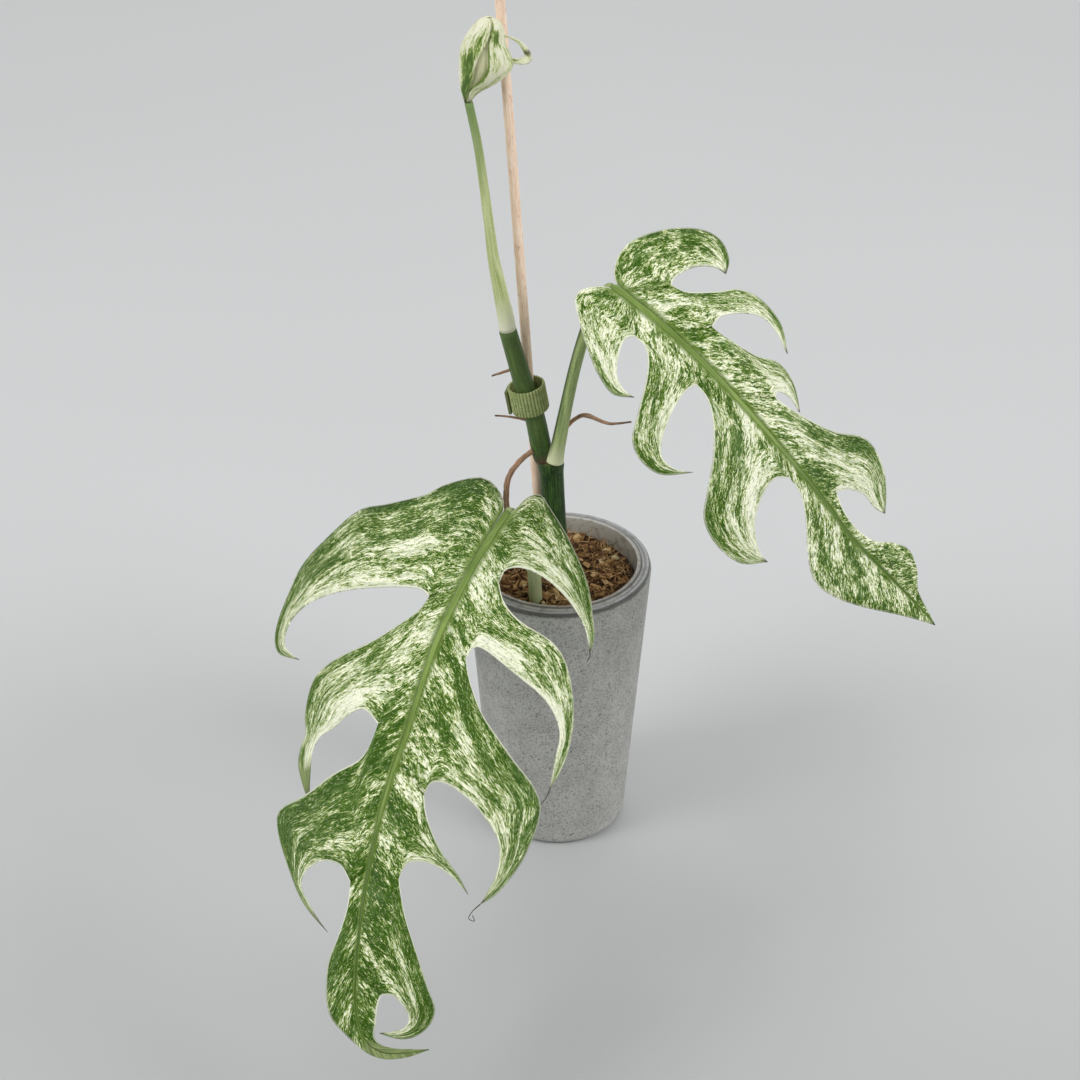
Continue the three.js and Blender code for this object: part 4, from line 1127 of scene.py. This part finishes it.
def add_lobe(mesh, blade, lobe):
    """Wraps one lobe's grid."""
    rows = lobe_rows(blade, lobe)
    basal = lobe["root"][0] == 0
    widest = max((far - near).length for _, near, far in rows[BAY_ROWS:])
    start = lobe["root"][1] - max(widest, lobe["root"][1]) if basal else lobe["root"][0]
    shares = [column / LOBE_COLUMNS for column in range(LOBE_COLUMNS + 1)]
    flats = [[near.lerp(far, share) for share in shares] for _, near, far in rows]
    lengths = [[0.0] * (LOBE_COLUMNS + 1)]
    for above, here in zip(flats, flats[1:]):
        lengths.append([so_far + (b - a).length for so_far, a, b in zip(lengths[-1], above, here)])
    whole = max(lengths[-1])

    def place(column, row):
        free, near, far = rows[row]
        flat = flats[row][column]
        share = column / LOBE_COLUMNS
        point, normal = blade.wrap(flat.x, lobe["side"] * flat.y)
        middle = near.lerp(far, 0.5)
        hang = blade.wrap(middle.x, lobe["side"] * middle.y)[1]
        width = (far - near).length
        point = point - hang * lobe["sag"] * free * free
        wave = math.sin(share * math.pi * 5 + lobe["root"][1]) * min(1, width / 30) * 0.35
        point = point + normal * wave * min(1.0, lengths[row][column] / 20)
        to_near = share * width if row >= BAY_ROWS or basal else 30.0
        to_far = (1 - share) * width if row >= BAY_ROWS else 30.0
        across = start + (lobe["root"][1] - start) * share
        pattern = (across, lobe["side"] * (lengths[row][column] + 5))
        left = whole * (1 - free)
        return point, pattern, {
            "edge": min(to_near, to_far),
            "bay": (1 - free) ** 1.5 * (1.0 if to_far < to_near or not basal else 0.5),
            "rib": flat.y / blade.rib_width(flat.x) * 0.75,
            "dry": max(0.0, 1 - left / lobe.get("dry", 7)),
            "plain": min(1.0, max(0.0, (free - lobe.get("plain", 2.0)) * 40)),
            "light": (share - 0.42) * min(1.0, free * 3 + 0.15) + lobe.get("tone", 0.0),
        }

    wrapped(mesh, LOBE_COLUMNS, BAY_ROWS + FREE_ROWS, place, outward=blade.facing)


# %% [markdown]
# The end lobe is two grids, one on each side of the centre line, with rows that run out to its edge.

# %% One half of the end lobe
END_STATIONS = (24, 30)


def add_end(mesh, blade, hand, half):
    """Wraps one half of the end lobe."""
    edge = Ruler(smooth_line(half["edge"], stretched=False))
    total, start, first = blade.length, blade.end_start, half["from"]
    before, after = END_STATIONS
    stations = [first + (start - first) * i / before for i in range(before)]
    stations += [start + (total - start) * i / after for i in range(after + 1)]

    def place(column, row):
        along = stations[row]
        share = (along - first) / (total - first)
        rim = edge.at(share ** half["lag"] * edge.length)[0]
        centre, aside = blade.spine_place(along)
        inner = centre if row == len(stations) - 1 else centre + aside * hand * blade.rib_width(along)
        flat = inner.lerp(rim, column / BAY_ROWS)
        point, _ = blade.wrap(flat.x, flat.y)
        width = (rim - inner).length
        out = width * column / BAY_ROWS
        plain = min(1.0, max(0.0, (along - blade.leaf["end"]["plain"]) / 3))
        slant = min(1.0, (along - first) / 25)
        return point, (along - 0.9 * slant * out, hand * (out * (1 + 0.4 * slant) + 5)), {
            "edge": width - out if row > 0 else 30.0,
            "bay": max(0.0, 1 - share * 1.6),
            "rib": 0.75 + out / max(blade.rib_width(along), 0.5) * 0.5,
            "dry": max(0.0, 1 - (total - along) / 5),
            "plain": plain,
            "light": blade.leaf["end"]["tone"] * min(1.0, share * 3),
        }

    wrapped(mesh, BAY_ROWS, len(stations) - 1, place, outward=blade.facing)


# %% [markdown]
# The midrib is a cord of its own. It is nearly flat on the upper face, stands out more on the under face, and
# thins out towards the tip.

# %% Midrib
def add_rib(mesh, blade):
    """The midrib: a flat-topped cord that thins out towards the tip."""
    total = blade.length
    rows, columns = 120, 14

    def place(column, row):
        along = (total + 1.2) * min(max(row - 1, 0), rows - 2) / (rows - 2) - 1.2
        centre, aside = blade.spine_place(along)
        turn = column / columns * 2 * math.pi
        narrow = math.sqrt(min(1.0, (along + 1.3) / 3))
        half = (blade.rib_width(along) * 0.85 + 0.15) * narrow * math.cos(turn)
        if row in (0, rows):
            half = 0.0
        flat = centre + aside * half
        point, normal = blade.wrap(flat.x, flat.y)
        thin = 1 - along / total
        drop = math.sin(turn)
        height = drop * 0.46 if drop > 0 else drop * (0.35 + (blade.leaf["rib"] - 0.45) * thin)
        if row in (0, rows):
            height = 0.0
        under = 1.0 if drop < -0.05 else 0.0
        return point + normal * height, (half, along), {"under": under, "late": 1 - thin}

    wrapped(mesh, columns, rows, place)
    closed(mesh)


# %% [markdown]
# The marbling has several layers, all drawn along the veins: broad clouds decide where a leaf is mostly green
# or mostly cream, middle streaks break them up, and fine flecks with sharp ends lie over both. A grey-green
# veil covers some places. The bays have a thin white rim, and a plain sage band runs beside the midrib.

# %% Marbling
DARK_GREEN, LEAF_GREEN = linear(44, 80, 0), linear(90, 128, 18)
LIME, CREAM, WHITE = linear(154, 178, 60), linear(220, 226, 168), linear(248, 250, 228)
SAGE, BACK_GREEN, DRY = linear(112, 138, 60), linear(104, 120, 72), linear(52, 38, 26)


def marbling(tree, veins, whiteness, shift):
    """How pale each place of a leaf is, and the fine and middle streaks in it."""
    fine = streaks(tree, veins, 1.0, 2.6, roughness=0.78, wobble=0.9, shift=shift)
    middle = streaks(tree, veins, 3.4, 9.0, roughness=0.7, wobble=0.7, shift=shift + 3)
    broad = streaks(tree, veins, 16.0, 30.0, roughness=0.5, wobble=0.4, shift=shift + 7)
    paint = calc(tree, "MULTIPLY_ADD", fine, 0.55, calc(tree, "MULTIPLY_ADD", middle, 0.4,
                 calc(tree, "MULTIPLY", broad, 0.34)))
    paint = calc(tree, "MULTIPLY_ADD", attribute(tree, "light"), 0.11, paint)
    return calc(tree, "ADD", paint, whiteness - 0.145), fine, middle


# %% Upper face of a leaf
def marbled_leaf(name, whiteness, shift):
    """The upper face of a leaf. whiteness moves the share of cream against green."""
    made, tree, shader = material(name, linear(150, 178, 118))
    veins = pattern_place(tree)
    paint, fine, middle = marbling(tree, veins, whiteness, shift)
    color = ramp(tree, paint, [(0.44, DARK_GREEN), (0.487, LEAF_GREEN), (0.498, LIME), (0.508, CREAM),
                               (0.54, WHITE)])
    pale_flecks = streaks(tree, veins, 0.9, 2.6, roughness=0.75, shift=shift + 31)
    pale_flecks = window(tree, pale_flecks, 0.59, 0.615)
    color = tinted(tree, color, pale_flecks, 0.9, CREAM)
    green_flecks = streaks(tree, veins, 0.9, 3.4, roughness=0.75, shift=shift + 35)
    green_flecks = window(tree, green_flecks, 0.59, 0.615)
    color = tinted(tree, color, green_flecks, 0.9, linear(64, 104, 8))
    veil = window(tree, streaks(tree, veins, 8.0, 15.0, wobble=1.0, shift=shift + 12), 0.53, 0.62)
    color = tinted(tree, color, veil, 0.3, linear(104, 134, 72))
    lines = streaks(tree, veins, 1.6, 90.0, wobble=0.1, shift=shift + 20)
    color = tinted(tree, color, window(tree, lines, 0.56, 0.64), 0.3, LEAF_GREEN)
    rib = below(tree, attribute(tree, "rib"), 0.95, 2.0)
    color = tinted(tree, color, rib, 0.8, SAGE)
    rim = below(tree, attribute(tree, "edge"), 0.5, 1.1)
    rim = calc(tree, "MULTIPLY", rim, calc(tree, "MULTIPLY_ADD", attribute(tree, "bay"), 0.8, 0.2))
    color = mixed(tree, rim, color, WHITE)
    bare = mixed(tree, window(tree, streaks(tree, veins, 1.2, 30.0, shift=shift + 50), 0.4, 0.6),
                 BACK_GREEN, linear(150, 164, 108))
    color = mixed(tree, attribute(tree, "plain"), color, bare)
    color = mixed(tree, attribute(tree, "dry"), color, DRY)
    relief = calc(tree, "MULTIPLY_ADD", lines, 1.0, calc(tree, "MULTIPLY", fine, 0.25))
    roughness = calc(tree, "MULTIPLY_ADD", middle, 0.15, 0.42)
    feed(tree, shader, color, roughness, relief, depth=0.0006, strength=0.35, gloss=0.18)
    return made


# %% [markdown]
# From behind, a leaf is paler and duller. The same marbling shows through it, and the side veins stand out.

# %% Under face of a leaf
def leaf_back(name, whiteness, shift):
    """The under face, where the same marbling shows through, paler and duller, and the veins stand out."""
    made, tree, shader = material(name, BACK_GREEN)
    veins = pattern_place(tree)
    paint = marbling(tree, veins, whiteness, shift)[0]
    color = ramp(tree, paint, [(0.44, linear(92, 118, 60)), (0.487, linear(124, 146, 88)),
                               (0.508, linear(190, 198, 152)), (0.54, linear(214, 218, 184))])
    lines = streaks(tree, veins, 1.8, 80.0, wobble=0.1)
    color = tinted(tree, color, window(tree, lines, 0.54, 0.62), 0.4, linear(150, 166, 112))
    color = mixed(tree, attribute(tree, "plain"), color, linear(124, 140, 92))
    color = mixed(tree, attribute(tree, "dry"), color, DRY)
    feed(tree, shader, color, 0.55, lines, depth=0.0006, strength=0.5)
    return made


# %% Finish of the midribs
midrib_green, tree, shader = material("midrib", SAGE)
lines = pattern_place(tree)
rib_lines = streaks(tree, lines, 0.5, 40.0, wobble=0.15)
rib_tone = streaks(tree, lines, 4.0, 30.0, shift=6.0)
rib_color = ramp(tree, weighed(tree, rib_lines, 0.5, rib_tone),
                 [(0.4, linear(88, 116, 42)), (0.6, linear(138, 162, 84))])
late = window(tree, attribute(tree, "late"), 0.45, 0.8)
rib_color = tinted(tree, rib_color, late, 0.75, linear(52, 84, 22))
rib_color = tinted(tree, rib_color, attribute(tree, "under"), 0.4, linear(140, 152, 108))
feed(tree, shader, rib_color, 0.5, rib_lines, depth=0.0002, strength=0.4, gloss=0.3)

# %% [markdown]
# Each large leaf is one mesh of its lobes and the two halves of its end, made 0.8 mm thick, and a second mesh
# for its midrib. Both leaves have the same two finishes, with a pattern and a share of cream of their own.

# %% The two large leaves
BLADE_THICKNESS = 0.8


def leaf_piece(name, leaf, node_name, finish, back):
    """Builds a leaf: the blade with its thickness, and the midrib that carries it."""
    blade = Blade(leaf)
    mesh = blank("edge", "bay", "rib", "dry", "plain", "light")
    for lobe in leaf["lobes"]:
        add_lobe(mesh, blade, lobe)
    add_end(mesh, blade, 1, leaf["end"]["left"])
    add_end(mesh, blade, -1, leaf["end"]["right"])
    bmesh.ops.remove_doubles(mesh, verts=mesh.verts, dist=0.00003)
    thing = piece(name, mesh, [finish, back], node_name)
    thickened(thing, BLADE_THICKNESS, 0)
    rib_mesh = blank("under", "late")
    add_rib(rib_mesh, blade)
    piece(name + "_midrib", rib_mesh, [midrib_green], None)


leaf_piece("lower_leaf", LOWER_LEAF, "leaf_lower", marbled_leaf("marbled_lower", -0.004, 0.0),
           leaf_back("back_lower", -0.004, 0.0))
leaf_piece("upper_leaf", UPPER_LEAF, "leaf_upper", marbled_leaf("marbled_upper", -0.01, 40.0),
           leaf_back("back_upper", -0.01, 40.0))

# %% [markdown]
# Some lobes end in a dried thread, as thin as a hair. Each hangs from its lobe's tip in a loose bow.

# %% Dried threads
dry_thread, tree, shader = material("dry_thread", DRY)
shader.inputs["Base Color"].default_value = DRY
feed(tree, shader, None, 0.8)

THREADS = [
    {"lobe": 3, "bow": [(0.2, -0.5, -2), (-0.8, -1, -4), (-1.6, -1.4, -5.5)]},
    {"lobe": 4, "bow": [(-0.8, -1, -2), (-2.4, -2, -4.5), (-5, -3, -7)]},
    {"lobe": 5, "bow": [(-4, -2, -3), (-6, -3, -7), (-3, -4, -8), (-4, -3, -5)]},
]
THREAD_START, THREAD_RADIUS = 0.32, 0.2
lower_blade = Blade(LOWER_LEAF)
thread_mesh = blank()
for thread in THREADS:
    lobe = LOWER_LEAF["lobes"][thread["lobe"]]
    tip, hang = lower_blade.wrap(lobe["tip"][0], lobe["side"] * lobe["tip"][1])
    tip = tip - hang * lobe["sag"]
    path = [tip, *[tip + Vector(step) for step in thread["bow"]]]
    tube(thread_mesh, path, [THREAD_START, *[THREAD_RADIUS] * (len(path) - 1)], around=8, steps=8)
closed(thread_mesh)
piece("tip_threads", thread_mesh, [dry_thread], None)

# %% [markdown]
# The youngest leaf is still rolled into a hood. It is one sheet wound round an axis that leans with the
# stalk, open along a slit at the front, and one narrow lobe has sprung free on the right and curls back.

# %% Outline of the rolled leaf
ROLL = [
    {"left": (-50.2, 477.4), "right": (-48.4, 477.4), "open": 80, "shut": 100},
    {"left": (-52.2, 485), "right": (-43.5, 483), "open": 74, "shut": 82},
    {"left": (-52.8, 493), "right": (-33, 489.5), "open": 70, "shut": 92},
    {"left": (-52.7, 500), "right": (-26, 497), "open": 66, "shut": 94},
    {"left": (-51.9, 507), "right": (-27, 504), "open": 76, "shut": 98},
    {"left": (-49.6, 513), "right": (-29.6, 510), "open": 92, "shut": 101},
    {"left": (-46, 518.5), "right": (-30.2, 516), "open": 99, "shut": 104},
    {"left": (-42.5, 522.4), "right": (-31.5, 520.8), "open": 97, "shut": 107},
    {"left": (-38.6, 524.2), "right": (-35.6, 523.8), "open": 90, "shut": 114},
]
ROLL_STEPS = 6
ROLL_ROWS = (len(ROLL) - 1) * ROLL_STEPS
roll_lines = {}
for key in ("left", "right"):
    roll_lines[key] = smooth_line([(*row[key], 0) for row in ROLL], steps=ROLL_STEPS)
for key in ("open", "shut"):
    roll_lines[key] = smooth_line([(row[key], 0, 0) for row in ROLL], steps=ROLL_STEPS)
print("rows of the roll:", ROLL_ROWS)

# %% Finish of the young leaf
young_leaf, tree, shader = material("young_leaf", CREAM)
veins = pattern_place(tree)
flecks = streaks(tree, veins, 1.0, 4.0, roughness=0.62, wobble=0.9)
wisps = streaks(tree, veins, 3.0, 9.0, shift=5.0)
paint = weighed(tree, flecks, 0.5, wisps)
paint = calc(tree, "SUBTRACT", paint, calc(tree, "MULTIPLY", attribute(tree, "green"), 0.22))
young = ramp(tree, paint, [(0.3, linear(72, 104, 28)), (0.4, linear(120, 148, 60)),
                           (0.45, linear(200, 208, 150)), (0.52, linear(234, 234, 206))])
young = tinted(tree, young, attribute(tree, "dry"), 0.9, DRY)
feed(tree, shader, young, 0.45, wisps, depth=0.0004, strength=0.4)

young_inside, tree, shader = material("young_inside", linear(200, 200, 176))
inside_marks = streaks(tree, pattern_place(tree), 2.0, 14.0)
inside = ramp(tree, inside_marks, [(0.4, linear(176, 182, 128)), (0.6, linear(218, 218, 176))])
feed(tree, shader, inside, 0.6)

# %% Places on the roll
ROLL_COLUMNS, INNER_COLUMNS = 64, 16
INNER_SIZE, INNER_SPAN = 0.8, (30, 150)
ROLL_DEPTH = 0.62


def roll_point(row, share, size=1.0, span=None):
    """A point of the rolled sheet at a share of its turn round the axis, or of a part of that turn."""
    left, right = roll_lines["left"][row], roll_lines["right"][row]
    start = Vector((left.x, 0, left.y))
    end = Vector((right.x, 0, right.y))
    arm = (end - start) / 2
    shut, opened = span or (roll_lines["shut"][row].x, 360 + roll_lines["open"][row].x)
    angle = math.radians(shut + (opened - shut) * share)
    point = (start + end) / 2 - arm * math.cos(angle) * size
    point.y -= arm.length * ROLL_DEPTH * math.sin(angle) * size
    return point, angle


def roll_place(column, row):
    """A point of the outer sheet, green beside the slit, in a patch high up, and again low on the right."""
    share = column / ROLL_COLUMNS
    point, angle = roll_point(row, share)
    height = row / ROLL_ROWS
    beside = max(0.0, 1 - abs(1 - share - 0.06) * 11)
    fold = max(0.0, 1 - share * 40)
    low_right = max(0.0, 1 - abs(share - 0.2) * 8) * max(0.0, 1 - height * 1.4)
    patch = max(0.0, 1 - abs(share - 0.06) * 18) * max(0.0, 1 - abs(height - 0.72) * 7)
    green = max(1.4 * beside * (1.1 - height), 0.9 * fold, 0.6 * low_right, 1.4 * patch) - 0.25 * height
    dry = max(0.0, 1 - height * 14)
    return point, (math.degrees(angle) * 0.25, height * 48), {"green": green, "dry": dry}


def inner_place(column, row):
    """A point of the next turn of the sheet, which shows pale behind the slit."""
    point, angle = roll_point(row, column / INNER_COLUMNS, INNER_SIZE, INNER_SPAN)
    return point, (math.degrees(angle) * 0.25, row * 0.9), {"green": 0.12, "dry": 0.0}


# %% Rolled leaf
roll_mesh = blank("green", "dry")
wrapped(roll_mesh, ROLL_COLUMNS, ROLL_ROWS, roll_place)
for face in wrapped(roll_mesh, INNER_COLUMNS, ROLL_ROWS, inner_place):
    face.material_index = 1
roll_centre = Vector((-42, 0, 503)) * MM
outwards = sum(face.normal.dot(face.calc_center_median() - roll_centre) for face in roll_mesh.faces)
if outwards < 0:
    bmesh.ops.reverse_faces(roll_mesh, faces=roll_mesh.faces)
rolled = piece("young_leaf", roll_mesh, [young_leaf, young_inside], "leaf_new")
thickened(rolled, BLADE_THICKNESS, 1)

# %% Sprung lobe
CURL = {"path": [(-31.5, 0, 514), (-27, -0.5, 513.8), (-22.6, -1, 511.8), (-18.9, -1.6, 508),
                 (-17, -2, 503.6), (-18.6, -1.6, 501.2), (-22.4, -0.8, 500.4), (-28.6, 0, 500.6)],
        "radii": [1, 1.2, 1.8, 2.6, 3, 2.2, 1.6, 1.3], "thin": 0.4}
curl_mesh = blank("green", "dry")
tube(curl_mesh, CURL["path"], CURL["radii"], around=16, steps=10, thin=CURL["thin"],
     carried=lambda turn, far, whole: {"green": 0.0, "dry": max(0.0, 1 - abs(far / whole - 0.52) * 14)})
closed(curl_mesh)
piece("sprung_lobe", curl_mesh, [young_leaf], None)
